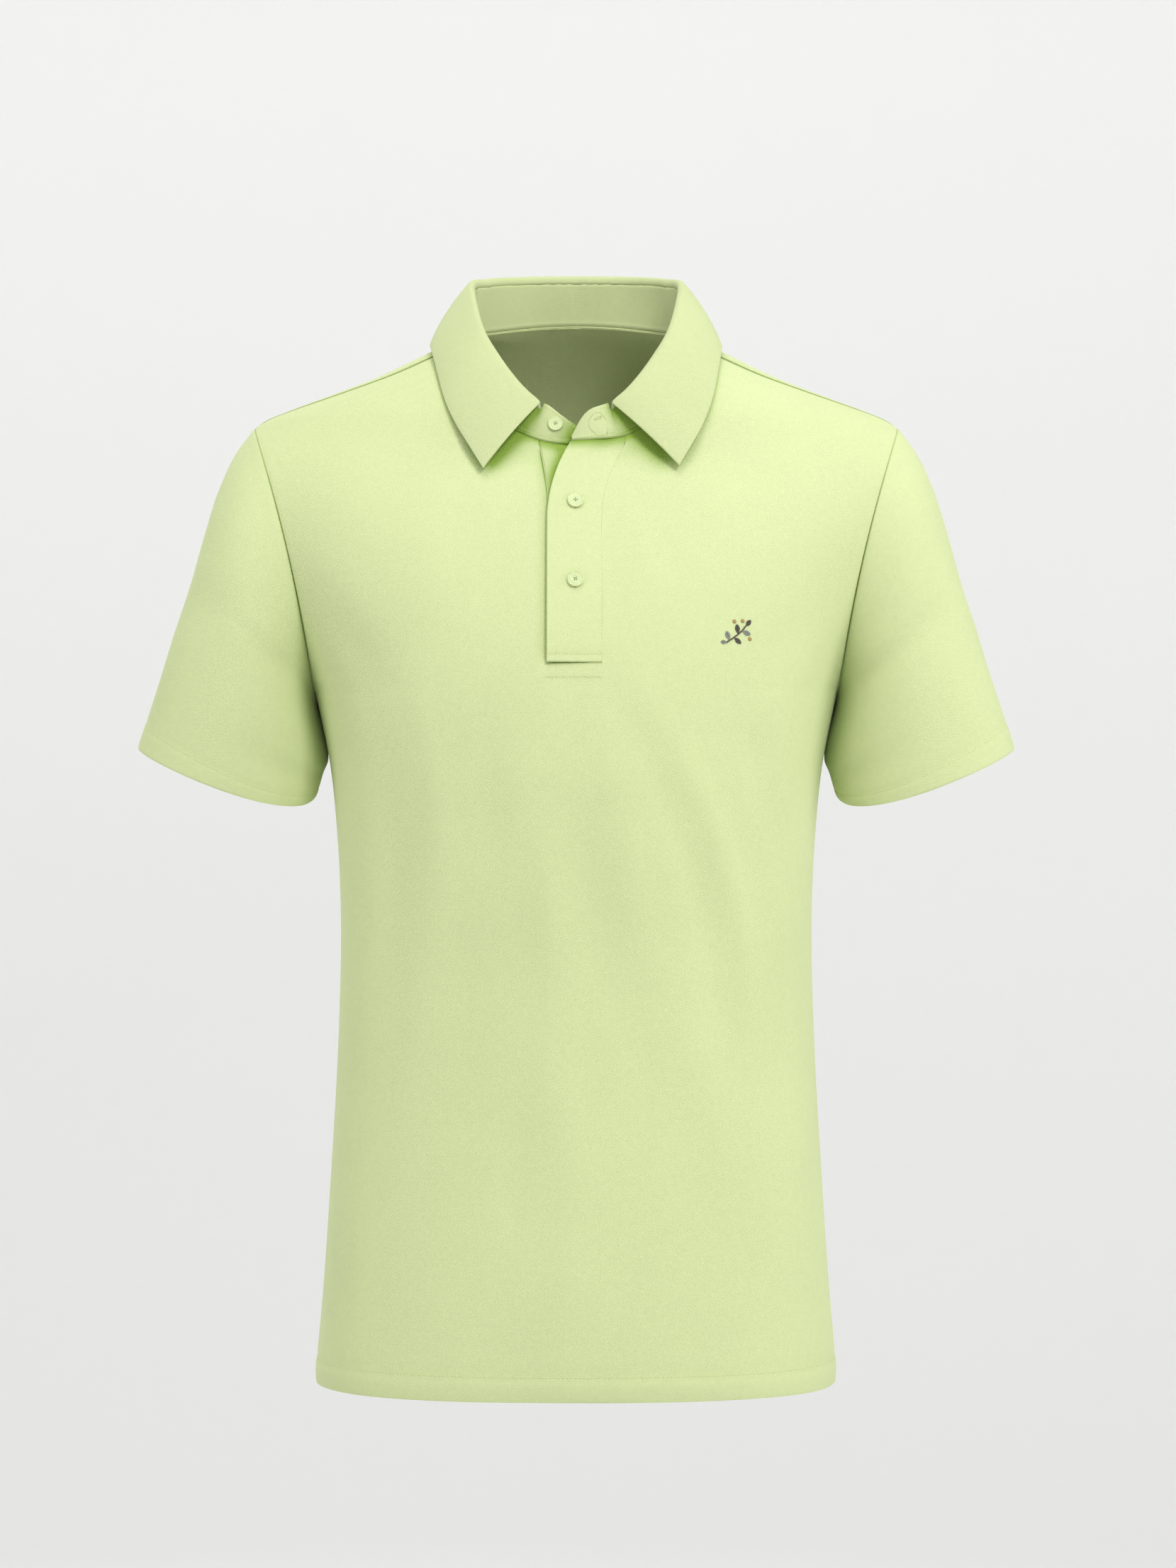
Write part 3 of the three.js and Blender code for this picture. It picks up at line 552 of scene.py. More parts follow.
class Cloth:
    """One layer of cloth in millimetres: its outer points, its quads, and where they lie on the flat cloth."""

    def __init__(self, points, quads, flat):
        self.points = points.reshape(-1, 3)
        self.flat = np.asarray(flat, float).reshape(-1, 2)
        used, inverse = np.unique(quads, return_inverse=True)
        self.points, self.flat = self.points[used], self.flat[used]
        self.quads = inverse.reshape(quads.shape)
        self.free = np.full(len(self.points), 1e3)
        self.wall = np.full(len(self.points), 1.2)
        # Painted shade along seams, hems and folds, from nought to one
        self.seam = np.zeros(len(self.points))

    def face(self, outward):
        """Turns the quads round if they don't face outward on the whole."""
        if (point_normals(self.points, self.quads) * outward).sum() < 0:
            self.quads = self.quads[:, ::-1]

    def push(self, amount):
        """Moves every point along its normal."""
        self.points = self.points + point_normals(self.points, self.quads) * np.asarray(amount)[:, None]

    def press_seams(self, lines, depth=0.5, width=0.6, ridge=0.2):
        """Sinks the cloth along seams, with the low ridge of the allowance beside them, and paints shade into the
        groove.
        """
        d = distance_to(self.points, lines)
        self.paint_shade(lines, 0.5, 0.8)
        self.push(-depth * np.exp(-((d / width) ** 2)) + ridge * np.exp(-(((d - 4.2) / 2.2) ** 2)))

    def paint_shade(self, lines, width, share=1.0):
        """Paints shade into the cloth's colour along lines, where seams, hems and folds lie in shade."""
        d = distance_to(self.points, lines)
        self.seam = np.maximum(self.seam, share * np.exp(-((d / width) ** 2)))

    def round_edges(self, lines):
        """Makes the cloth's rim round along free edges."""
        self.free = np.minimum(self.free, distance_to(self.points, lines))

    def blend(self, values):
        """Values at the points, each evened out with those at the other corners of its quads."""
        total, share = np.zeros(len(values)), np.zeros(len(values))
        mean = values[self.quads].mean(axis=1)
        for i in range(4):
            np.add.at(total, self.quads[:, i], mean)
            np.add.at(share, self.quads[:, i], 1)
        return total / np.maximum(share, 1)

    def tree(self):
        """A search tree of the outer surface."""
        return BVHTree.FromPolygons([Vector(p) for p in self.points], self.quads.tolist())

    def area(self):
        """The area of one side, in square metres."""
        a, b, c, d = (self.points[self.quads[:, i]] for i in range(4))
        return float(np.linalg.norm(np.cross(c - a, d - b), axis=1).sum() / 2) * MM * MM

    def build(self, name, material):
        """The closed mesh object: outer side, inner side and rims."""
        normals = point_normals(self.points, self.quads)
        radius = self.wall * 0.55
        share = np.sqrt(np.clip(1 - (1 - np.clip(self.free / radius, 0, 1)) ** 2, 0.02, 1))
        slack = (1 - share)[:, None] * self.wall[:, None] / 2
        outer = self.points - normals * slack
        inner = self.points - normals * (self.wall[:, None] - slack)
        count = len(outer)
        a, b = self.quads, self.quads[:, ::-1] + count
        edges = np.concatenate([self.quads[:, [i, (i + 1) % 4]] for i in range(4)])
        seen = set(map(tuple, edges.tolist()))
        rim = [(j, i, i + count, j + count) for i, j in seen if (j, i) not in seen]
        faces = a.tolist() + b.tolist() + rim
        mesh = bpy.data.meshes.new(name)
        mesh.from_pydata((np.concatenate([outer, inner]) * MM).tolist(), [], faces)
        flat = np.concatenate([self.flat, self.flat]) * MM
        layer = mesh.uv_layers.new(name="cloth")
        loops = np.empty(len(mesh.loops), int)
        mesh.loops.foreach_get("vertex_index", loops)
        layer.data.foreach_set("uv", flat[loops].ravel())
        # Painted shade: seam darkens the outer side along seams, hems and folds, and close darkens it where other
        # cloth closes in; the inner side gets none
        seam = mesh.attributes.new("seam", "FLOAT", "POINT")
        seam.data.foreach_set("value", np.concatenate([self.seam, self.seam * 0]))
        mesh.attributes.new("close", "FLOAT", "POINT")
        crisp = [min(self.free[i], self.free[j]) > 0.5 for j, i, _, _ in rim]
        mesh.polygons.foreach_set("use_smooth", [True] * (len(a) + len(b)) + [not flat for flat in crisp])
        mesh.materials.append(material)
        mesh.update()
        return add_object(name, mesh)


def add_object(name, mesh):
    """An object in the scene for a mesh whose place is in its points."""
    obj = bpy.data.objects.new(name, mesh)
    bpy.context.scene.collection.objects.link(obj)
    return obj


cloths = {}


def painted_close_shade():
    """How much shade to paint into every point's colour, from how far other cloth closes in on its outer side: under
    the collar, in the V, at the armpits.
    """
    found = {}
    points = np.concatenate([cloth.points for cloth in cloths.values()])
    faces, first = [], 0
    for cloth in cloths.values():
        faces += (cloth.quads + first).tolist()
        first += len(cloth.points)
    tree = BVHTree.FromPolygons(points.tolist(), faces)
    count = 22
    k = np.arange(count)
    radius = np.sqrt((k + 0.5) / count)
    turn = k * 2.39996
    spread = np.stack([radius * np.cos(turn), radius * np.sin(turn), np.sqrt(1 - radius**2)], axis=1)
    for name, cloth in cloths.items():
        normals = point_normals(cloth.points, cloth.quads)
        side = unit(np.cross(normals, [0.31, 0.22, 0.93]))
        ahead = np.cross(normals, side)
        close = np.zeros(len(cloth.points))
        x, _, z = np.abs(cloth.points).T
        neck = np.clip((78 - x) / 20, 0, 1) * np.clip((130 - z) / 25, 0, 1)
        arm = np.clip((x - 135) / 20, 0, 1)
        reaches = 34 + 36 * neck
        for i in np.flatnonzero(cloth.points[:, 2] > -430):
            reach = float(reaches[i])
            rays = spread[:, :1] * side[i] + spread[:, 1:2] * ahead[i] + spread[:, 2:] * normals[i]
            start = Vector(cloth.points[i] + normals[i] * 0.5)
            for ray in rays.tolist():
                away = tree.ray_cast(start, ray, reach)[3]
                if away is not None:
                    close[i] += 1 - away / reach
        close /= count
        for _ in range(4):
            close = cloth.blend(close)
        # Painted shade: strongest round the neck and weakest on the arms
        close = np.clip((close - 0.09 + 0.07 * neck) / (0.5 - 0.24 * neck), 0, 1)
        found[name] = close * (0.65 + 0.35 * neck - 0.3 * arm)
    return found


# Materials


class Nodes:
    """Adds and links the nodes of one material or group."""

    def __init__(self, tree):
        self.tree = tree

    def add(self, kind, inputs=None, **settings):
        node = self.tree.nodes.new(kind)
        for key, value in settings.items():
            setattr(node, key, value)
        for key, value in (inputs or {}).items():
            if isinstance(value, bpy.types.NodeSocket):
                self.tree.links.new(value, node.inputs[key])
            else:
                node.inputs[key].default_value = value
        return node


def new_material(name):
    """An empty material, with its node tree, shader and output."""
    material = bpy.data.materials.get(name)
    if material:
        bpy.data.materials.remove(material)
    material = bpy.data.materials.new(name)
    material.use_nodes = True
    material.node_tree.nodes.clear()
    nodes = Nodes(material.node_tree)
    shader = nodes.add("ShaderNodeBsdfPrincipled")
    output = nodes.add("ShaderNodeOutputMaterial")
    material.node_tree.links.new(shader.outputs["BSDF"], output.inputs["Surface"])
    return material, nodes, shader


def knit_material(name, colour, depth, settings):
    """Fine matte knit: crossing diagonal loops on the cloth's own UVs, soft fuzz and faint mottling, with painted
    shade along seams and where other cloth closes in.
    """
    material, nodes, shader = new_material(name)
    link = material.node_tree.links.new
    shader.inputs["Roughness"].default_value = 0.86
    shader.inputs["Specular IOR Level"].default_value = 0.22
    shader.inputs["Sheen Weight"].default_value = 0.18
    shader.inputs["Sheen Roughness"].default_value = 0.5
    shader.inputs["Sheen Tint"].default_value = (0.93, 1.0, 0.78, 1)
    uv = nodes.add("ShaderNodeUVMap", uv_map="cloth").outputs["UV"]
    place = nodes.add("ShaderNodeTexCoord").outputs["Object"]
    waves = []
    for turn in (52, -52):
        lean = nodes.add("ShaderNodeMapping", {"Vector": uv, "Rotation": (0, 0, math.radians(turn))})
        wave = nodes.add(
            "ShaderNodeTexWave",
            {"Vector": lean.outputs["Vector"], "Scale": 0.314 / settings.knit_pitch, "Distortion": 1.4,
             "Detail": 1.0, "Detail Scale": 1.6},
            wave_type="BANDS", bands_direction="X", wave_profile="SIN",
        )
        waves.append(wave.outputs["Fac"])
    knit = nodes.add("ShaderNodeMath", {0: waves[0], 1: waves[1]}, operation="MULTIPLY").outputs[0]
    fuzz = nodes.add("ShaderNodeTexNoise", {"Vector": place, "Scale": 900.0, "Detail": 3.0, "Roughness": 0.6})
    mottle = nodes.add("ShaderNodeTexNoise", {"Vector": place, "Scale": 9.0, "Detail": 3.0, "Roughness": 0.5})
    grain = nodes.add("ShaderNodeTexNoise", {"Vector": place, "Scale": 260.0, "Detail": 2.0, "Roughness": 0.55})
    height = nodes.add("ShaderNodeMath", {0: fuzz.outputs["Fac"], 1: 0.55, 2: knit}, operation="MULTIPLY_ADD")
    dark = tuple(c * 0.9 for c in colour[:3]) + (1,)
    light = tuple(min(c * 1.035, 1) for c in colour[:3]) + (1,)
    tone = nodes.add("ShaderNodeMath", {0: grain.outputs["Fac"], 1: 0.5, 2: knit}, operation="MULTIPLY_ADD")
    ramp = nodes.add("ShaderNodeValToRGB", {"Fac": tone.outputs[0]})
    ramp.color_ramp.elements[0].position = 0.1
    ramp.color_ramp.elements[0].color = dark
    ramp.color_ramp.elements[1].position = 0.85
    ramp.color_ramp.elements[1].color = light
    shift = nodes.add("ShaderNodeMapRange", {"Value": mottle.outputs["Fac"], "From Min": 0.3, "From Max": 0.7,
                                             "To Min": 0.975, "To Max": 1.02})
    tint = nodes.add("ShaderNodeHueSaturation", {"Color": ramp.outputs["Color"], "Value": shift.outputs[0]})
    # Painted shade along seams, hems and folds: the colour is multiplied towards (0.5, 0.6, 0.3) by the seam attribute
    seam = nodes.add("ShaderNodeAttribute", attribute_name="seam").outputs["Fac"]
    sunk = nodes.add("ShaderNodeMix", {"Factor": seam, "A": (1, 1, 1, 1), "B": (0.5, 0.6, 0.3, 1)}, data_type="RGBA")
    shade = nodes.add("ShaderNodeMix", {"Factor": 1.0, "A": tint.outputs["Color"], "B": sunk.outputs["Result"]},
                      data_type="RGBA", blend_type="MULTIPLY")
    # Painted shade where other cloth closes in: the colour is multiplied towards a deep green (0.42, 0.58, 0.16) by
    # the close attribute
    close = nodes.add("ShaderNodeAttribute", attribute_name="close").outputs["Fac"]
    deep = nodes.add("ShaderNodeMix", {"Factor": close, "A": (1, 1, 1, 1), "B": (0.42, 0.58, 0.16, 1)},
                     data_type="RGBA")
    whole = nodes.add("ShaderNodeMix", {"Factor": 1.0, "A": shade.outputs["Result"], "B": deep.outputs["Result"]},
                      data_type="RGBA", blend_type="MULTIPLY")
    link(whole.outputs["Result"], shader.inputs["Base Color"])
    bump = nodes.add("ShaderNodeBump", {"Height": height.outputs[0], "Strength": 0.55, "Distance": depth * MM})
    link(bump.outputs["Normal"], shader.inputs["Normal"])
    return material


def button_material(name, colour):
    """Tonal moulded resin with faint pearl mottling."""
    material, nodes, shader = new_material(name)
    link = material.node_tree.links.new
    shader.inputs["Roughness"].default_value = 0.5
    shader.inputs["Specular IOR Level"].default_value = 0.3
    shader.inputs["Coat Weight"].default_value = 0.05
    shader.inputs["Coat Roughness"].default_value = 0.25
    shader.inputs["Subsurface Weight"].default_value = 0.12
    shader.inputs["Subsurface Scale"].default_value = 0.001
    place = nodes.add("ShaderNodeTexCoord").outputs["Object"]
    swirl = nodes.add("ShaderNodeTexNoise", {"Vector": place, "Scale": 240.0, "Detail": 4.0, "Distortion": 1.2})
    ramp = nodes.add("ShaderNodeValToRGB", {"Fac": swirl.outputs["Fac"]})
    ramp.color_ramp.elements[0].position = 0.3
    ramp.color_ramp.elements[0].color = tuple(c * 0.9 for c in colour[:3]) + (1,)
    ramp.color_ramp.elements[1].position = 0.75
    ramp.color_ramp.elements[1].color = tuple(min(c * 1.06, 1) for c in colour[:3]) + (1,)
    link(ramp.outputs["Color"], shader.inputs["Base Color"])
    grain = nodes.add("ShaderNodeTexNoise", {"Vector": place, "Scale": 1500.0, "Detail": 2.0})
    bump = nodes.add("ShaderNodeBump", {"Height": grain.outputs["Fac"], "Strength": 0.2, "Distance": 0.00004})
    link(bump.outputs["Normal"], shader.inputs["Normal"])
    return material


def thread_material(name, colour):
    """Spun sewing thread: fine twist lines and a soft sheen."""
    material, nodes, shader = new_material(name)
    link = material.node_tree.links.new
    shader.inputs["Roughness"].default_value = 0.6
    shader.inputs["Sheen Weight"].default_value = 0.3
    place = nodes.add("ShaderNodeTexCoord").outputs["Object"]
    twist = nodes.add("ShaderNodeTexNoise", {"Vector": place, "Scale": 2600.0, "Detail": 2.0})
    ramp = nodes.add("ShaderNodeValToRGB", {"Fac": twist.outputs["Fac"]})
    ramp.color_ramp.elements[0].position = 0.3
    ramp.color_ramp.elements[0].color = tuple(c * 0.82 for c in colour[:3]) + (1,)
    ramp.color_ramp.elements[1].position = 0.7
    ramp.color_ramp.elements[1].color = tuple(min(c * 1.08, 1) for c in colour[:3]) + (1,)
    link(ramp.outputs["Color"], shader.inputs["Base Color"])
    bump = nodes.add("ShaderNodeBump", {"Height": twist.outputs["Fac"], "Strength": 0.4, "Distance": 0.00006})
    link(bump.outputs["Normal"], shader.inputs["Normal"])
    return material


def studio_material(name, colour, glow):
    """Plain matte paper for the floor and backdrop, faintly uneven, with painted shade towards the floor."""
    material, nodes, shader = new_material(name)
    link = material.node_tree.links.new
    shader.inputs["Roughness"].default_value = 0.95
    shader.inputs["Specular IOR Level"].default_value = 0.1
    shader.inputs["Emission Color"].default_value = (*colour[:3], 1)
    shader.inputs["Emission Strength"].default_value = glow
    place = nodes.add("ShaderNodeTexCoord").outputs["Object"]
    noise = nodes.add("ShaderNodeTexNoise", {"Vector": place, "Scale": 0.7, "Detail": 2.0})
    ramp = nodes.add("ShaderNodeValToRGB", {"Fac": noise.outputs["Fac"]})
    ramp.color_ramp.elements[0].color = tuple(c * 0.99 for c in colour[:3]) + (1,)
    ramp.color_ramp.elements[1].color = (*colour[:3], 1)
    # Painted shade: the paper darkens by up to a tenth towards the floor
    height = nodes.add("ShaderNodeSeparateXYZ", {"Vector": place}).outputs["Z"]
    level = nodes.add("ShaderNodeMapRange", {"Value": height, "From Min": -1.4, "From Max": 0.9, "To Min": 0.9,
                                             "To Max": 1.0})
    tint = nodes.add("ShaderNodeHueSaturation", {"Color": ramp.outputs["Color"], "Value": level.outputs[0]})
    link(tint.outputs["Color"], shader.inputs["Base Color"])
    return material


def shirt_settings():
    """The sizes and colours in the sidebar panel."""
    return bpy.context.scene.polo_shirt


def cloth_material():
    """The body cloth's material, made once."""
    settings = shirt_settings()
    return bpy.data.materials.get("knit_cloth") or knit_material("knit_cloth", settings.cloth_colour, 0.22, settings)


def collar_material():
    """The collar cloth: a closer knit, its colour a tenth darker than the body's as painted shade."""
    settings = shirt_settings()
    # Painted shade: the collar's copy of the knit is darkened by a tenth
    shade = tuple(c * 0.9 for c in settings.cloth_colour)
    return bpy.data.materials.get("knit_collar_painted_shade") or knit_material("knit_collar_painted_shade", shade, 0.16, settings)


# Body


def body_rows(top):
    """Heights of the rows of points, closer together at the hem, the placket's foot, the V and the shoulders."""
    hem = HEM_Z + RIM_MARKS
    lower = np.linspace(HEM_Z + 4, -262, 100)[1:]
    foot = SLOT_BOTTOM_Z - np.array([11.4, 10.4, 9.8, 9.2, 8.2, 2.4, 1.2, 0.5, 0])
    beside = np.arange(-258, -102, 3.6)
    beside = beside[(beside < foot[0]) | (beside > SLOT_BOTTOM_Z)]
    upper = np.concatenate([np.arange(-101, -66, 1.8), np.arange(-66, FRONT_TOP_Z, 1.5)])
    rows = np.concatenate([hem, lower, beside, foot, upper, [UNDERARM_Z, UNDERARM_Z + 1.2], top])
    rows = np.unique(np.round(rows, 3))
    keep = np.concatenate([[True], np.diff(rows) > 0.1])
    return rows[keep]


def split_row(z, start, end, count, fine):
    """A row between two angles, in a fixed number of steps, with seam spacing at its first end or both."""
    def shares(length):
        ends = SEAM_MARKS * min(1, length / 30)
        tail = RIM_MARKS * min(1, length / 30)
        first = ends if fine[0] else [0]
        last = tail if fine[1] else [0]
        middle = np.linspace(first[-1], length - last[-1], count + 1)
        return np.concatenate([first[:-1], middle, (length - np.asarray(last))[-2::-1]])

    return even_row(z, start, end, shares)


def front_cloth():
    """The front panel's cloth, with its placket slot."""
    rows = body_rows([])
    side_steps, slot_steps = 58, 9
    points, flat = [], []
    for z in rows:
        end = panel_end(z, True)
        neck = neck_half_front(z) if z > -NECK_DROP else 0
        left = float(front_angle(z, max(upper_edge_x(z) + PLACKET_WIDTH, neck)))
        right = float(front_angle(z, min(under_edge_x(z), -neck)))
        a, run_a = split_row(z, end, left, side_steps, (True, True))
        b, run_b = split_row(z, 360 - end, right, side_steps, (True, True))
        middle = body_points(z, np.linspace(left, right, slot_steps + 1))[1:-1]
        points.append(np.concatenate([a, middle, b[::-1]]))
        x_left, x_right = a[-1, 0], b[-1, 0]
        across = np.concatenate([x_left + run_a[-1] - run_a, middle[:, 0], x_right - (run_b[-1] - run_b)[::-1]])
        flat.append(np.stack([across, np.full(len(across), z)], axis=1))
    columns = len(points[0])
    first = side_steps + len(SEAM_MARKS) + len(RIM_MARKS) - 2
    low = int(np.argmin(abs(rows - SLOT_BOTTOM_Z)))
    quads = grid_quads(len(rows), columns, skip=lambda r, c: (r >= low) & (c >= first) & (c < first + slot_steps))
    grid = np.stack(points)
    seams = [grid[:, 0], grid[:, -1]]
    cloth = Cloth(grid, quads, np.stack(flat))
    cloth.face(cloth.points * [1, 1, 0])
    cloth.push(crease_heights(cloth.flat[:, 0], cloth.flat[:, 1], FRONT_CREASES) * shirt_settings().crease_share)
    hem_line = [body_points(HEM_Z + HEM_DEPTH, np.linspace(90, 270, 300))]
    hem = distance_to(cloth.points, hem_line)
    cloth.push(-0.6 * np.exp(-((hem / 1.6) ** 2)) + 0.35 * (cloth.points[:, 2] < HEM_Z + HEM_DEPTH))
    # Painted shade along the hem's stitch row
    cloth.paint_shade(hem_line, 0.9, 0.3)
    above = cloth.flat[:, 1] - HEM_Z
    cloth.push(hem_wave(cloth.flat[:, 0], above, 0.4) - 1.6 * np.clip(1 - above / 13, 0, 1) ** 2)
    cloth.wall = np.where(cloth.points[:, 2] < HEM_Z + HEM_DEPTH - 1, 2.3, 1.2)
    band_z = np.clip((cloth.flat[:, 1] + 245) / 4, 0, 1) * np.clip((-232 - cloth.flat[:, 1]) / 1, 0, 1)
    band_x = np.clip((cloth.flat[:, 0] + 24) / 6, 0, 1) * np.clip((22 - cloth.flat[:, 0]) / 6, 0, 1)
    cloth.push(0.35 * band_z * band_x)
    high = np.linspace(SLOT_BOTTOM_Z + 4, -90, 120)
    beside = distance_to(cloth.points, [front_surface(under_edge_x(high), high, 0.0)[0]])
    cloth.push(-1.5 * np.exp(-((beside / 5.5) ** 2)) * (cloth.points[:, 0] < 0))
    cloth.press_seams(seams)
    crest = rows >= SHOULDER_POINT_Z
    crests = [grid[crest, 0], grid[crest, -1]]
    cloth.push(-0.6 * np.clip(1 - distance_to(cloth.points, crests) / 5, 0, 1))
    # Painted shade along the shoulder seams on the crest
    cloth.paint_shade(crests, 1.7, 0.85)
    # Painted shade along the placket's foot and the stitch row below it
    x = np.linspace(-19.8, 17.2, 80)
    cloth.paint_shade([front_surface(x, np.full(80, SLOT_BOTTOM_Z - 0.2), 0.0)[0]], 0.7, 0.8)
    cloth.paint_shade([front_surface(x, np.full(80, SLOT_BOTTOM_Z - 9.8), 0.0)[0]], 0.6, 0.22)
    cloth.round_edges([grid[0]])
    return cloth


def back_cloth():
    """The back panel's cloth, wrapped forward over the shoulders to the shoulder seams."""
    top = np.concatenate([np.arange(-4.8, 0, 0.8), [0], np.arange(0.8, 10.9, 0.75), [10.97]])
    rows = body_rows(top)
    steps = 64
    points, flat = [], []
    for z in rows:
        end = panel_end(z, False)
        a, run = split_row(z, end, 0.0, steps, (True, False))
        mirrored = a[:-1][::-1] * np.array([-1, 1, 1])
        points.append(np.concatenate([a, mirrored]))
        across = run[-1] - run
        flat.append(np.stack([np.concatenate([-across, across[:-1][::-1]]), np.full(len(a) * 2 - 1, z)], axis=1))
    grid = np.stack(points)
    neck = int(np.argmin(abs(rows - FRONT_TOP_Z)))
    high = int(np.argmin(abs(rows - SHOULDER_POINT_Z)))
    cloth = Cloth(grid, grid_quads(len(rows), grid.shape[1]), np.stack(flat))
    cloth.face(cloth.points * [1, 1, 0])
    cloth.push(crease_heights(-cloth.flat[:, 0], cloth.flat[:, 1], BACK_CREASES) * shirt_settings().crease_share)
    hem_line = [body_points(HEM_Z + HEM_DEPTH, np.linspace(-90, 90, 300))]
    hem = distance_to(cloth.points, hem_line)
    cloth.push(-0.6 * np.exp(-((hem / 1.6) ** 2)) + 0.35 * (cloth.points[:, 2] < HEM_Z + HEM_DEPTH))
    # Painted shade along the hem's stitch row
    cloth.paint_shade(hem_line, 0.9, 0.3)
    above = cloth.flat[:, 1] - HEM_Z
    cloth.push(hem_wave(cloth.flat[:, 0], above, 2.1) - 1.6 * np.clip(1 - above / 13, 0, 1) ** 2)
    cloth.wall = np.where(cloth.points[:, 2] < HEM_Z + HEM_DEPTH - 1, 2.3, 1.2)
    cloth.press_seams([grid[:high, 0], grid[:high, -1]])
    # Painted shade along the shoulder seams over the crest
    cloth.paint_shade([grid[high:neck, 0], grid[high:neck, -1]], 1.2, 0.7)
    cloth.round_edges([grid[0]])
    return cloth


# Sleeves

SLEEVE_LENGTH = 238
SLEEVE_ROUND = 190


def sleeve_cloth(side):
    """One sleeve's cloth: a tube from the armhole seam to its hem."""
    s = marks(SLEEVE_LENGTH, 4, SEAM_MARKS, RIM_MARKS) / SLEEVE_LENGTH
    phi = np.linspace(0, 360, 121)
    grid = sleeve_points(s[:, None], phi[None, :])
    flat = np.stack(np.broadcast_arrays((180 - phi)[None, :] / 180 * SLEEVE_ROUND, s[:, None] * SLEEVE_LENGTH), -1)
    flat = flat.copy()
    flat[..., 0] = np.where(phi <= 180, phi, phi - 360)[None, :] / 180 * SLEEVE_ROUND
    closed = grid[:, :-1]
    closed = closed * np.array([side, 1, 1])
    cloth = Cloth(closed, grid_quads(len(s), closed.shape[1], ring=True), flat[:, :-1])
    cloth.face((closed - closed.mean(axis=1, keepdims=True)).reshape(-1, 3))
    turned = -1 if side < 0 else 1
    near_body = np.clip((cloth.flat[:, 1] - 4) / 14, 0, 1) * np.clip((168 - abs(cloth.flat[:, 0])) / 30, 0, 1)
    lines = crease_heights(cloth.flat[:, 0] * turned, cloth.flat[:, 1] + 6 * (turned < 0), SLEEVE_CREASES)
    cloth.push(lines * near_body * shirt_settings().crease_share)
    along = cloth.flat[:, 1] / SLEEVE_LENGTH
    row = np.exp(-(((along - 0.925) * SLEEVE_LENGTH / 1.6) ** 2))
    cloth.push(-0.6 * row + 0.3 * (along > 0.925))
    # Painted shade along the hem's stitch row
    cloth.seam = np.maximum(cloth.seam, 0.3 * row**3)
    cloth.push(hem_wave(cloth.flat[:, 0], (1 - along) * SLEEVE_LENGTH, 1.2) * 0.7)
    cloth.wall = np.where(along > 0.93, 2.3, 1.2)
    cloth.press_seams([np.concatenate([closed[0], closed[0][:1]])])
    cloth.round_edges([np.concatenate([closed[-1], closed[-1][:1]])])
    return cloth


# Collar


def neck_seam(theta, side):
    """The neck seam, theta degrees from centre back."""
    theta = np.asarray(theta, float)
    sin = np.sin(np.radians(theta))
    cos = np.cos(np.radians(theta))
    back_z = np.minimum(NECK_RISE * cos * cos, NECK_RISE - 0.01)
    back = body_points(back_z, np.where(theta < 0.01, 0, back_neck_angle(back_z)))
    x = NECK_HALF * np.sign(sin) * abs(sin) ** (2 / NECK_POWER)
    z = np.minimum(-NECK_DROP * abs(cos) ** (2 / NECK_POWER), -0.01)
    across = np.clip((x - upper_edge_x(-NECK_DROP)) / PLACKET_WIDTH, 0, 1)
    out = upper_out(across, -NECK_DROP) if side > 0 else under_out(np.minimum(-x, UNDER_REACH_X), -NECK_DROP)
    front, _ = front_surface(x, z, out)
    at = np.where((theta <= 90)[..., None], back, front)
    return at * np.array([side, 1, 1])


def fold_points(theta, side):
    """The collar's fold, or the stand's free top edge beyond it."""
    theta = np.asarray(theta, float)
    at = pack(collar["fold_x"](theta), collar["fold_y"](theta), collar["fold_z"](theta))
    seam = neck_seam(theta, side)
    ends = stand_ends[side]
    free = pack(ends["top_x"](theta), 0.0, ends["top_z"](theta))
    free[..., 1] = seam[..., 1] + (free[..., 2] - seam[..., 2]) * 0.18
    blend = np.clip((theta - FOLD_END) / 8, 0, 1)
    free[..., 1] = at[..., 1] * (1 - blend) + free[..., 1] * blend
    at = np.where((theta > FOLD_END)[..., None], free, at)
    return at * np.array([side, 1, 1])


def fold_outward(theta, side):
    """The level direction away from the neck."""
    near = np.clip(theta, 0, FOLD_END)
    run = fold_points(np.minimum(near + 2, FOLD_END), 1) - fold_points(np.maximum(near - 2, 0), 1)
    outward = unit(pack(-run[..., 1], run[..., 0], 0.0))
    outward = np.where((np.asarray(theta) < 0.01)[..., None], np.array([0.0, 1.0, 0.0]), outward)
    return outward * np.array([side, 1, 1])


def leaf_edge(theta, side):
    """The outer edge of the collar's leaf."""
    at = pack(collar["edge_x"](theta), collar["edge_y"](theta), collar["edge_z"](theta))
    if side < 0:
        share = np.clip((np.asarray(theta) - 90) / 70, 0, 1)
        at = at - share[..., None] * np.array([RIGHT_LEAF_IN, 2, RIGHT_LEAF_DROP])
    return at * np.array([side, 1, 1])


def stand_top(theta, side):
    """The stand's top edge, hidden inside the fold as far as the fall goes."""
    at = fold_points(theta, side)
    low = np.clip((STAND_FOLD_END + 1.2 - np.asarray(theta)) / 1.2, 0, 1)
    return at - (low * (FOLD_INSIDE - 0.2))[..., None] * UP


def even_thetas(curve, last, step, fine_end):
    """Angles that space a curve's points evenly from centre back to its last one."""
    dense = np.linspace(0, last, 700)
    points = curve(dense)
    run = np.concatenate([[0], np.cumsum(np.linalg.norm(np.diff(points, axis=0), axis=1))])
    return np.interp(marks(run[-1], step, (), fine_end), run, dense), marks(run[-1], step, (), fine_end)


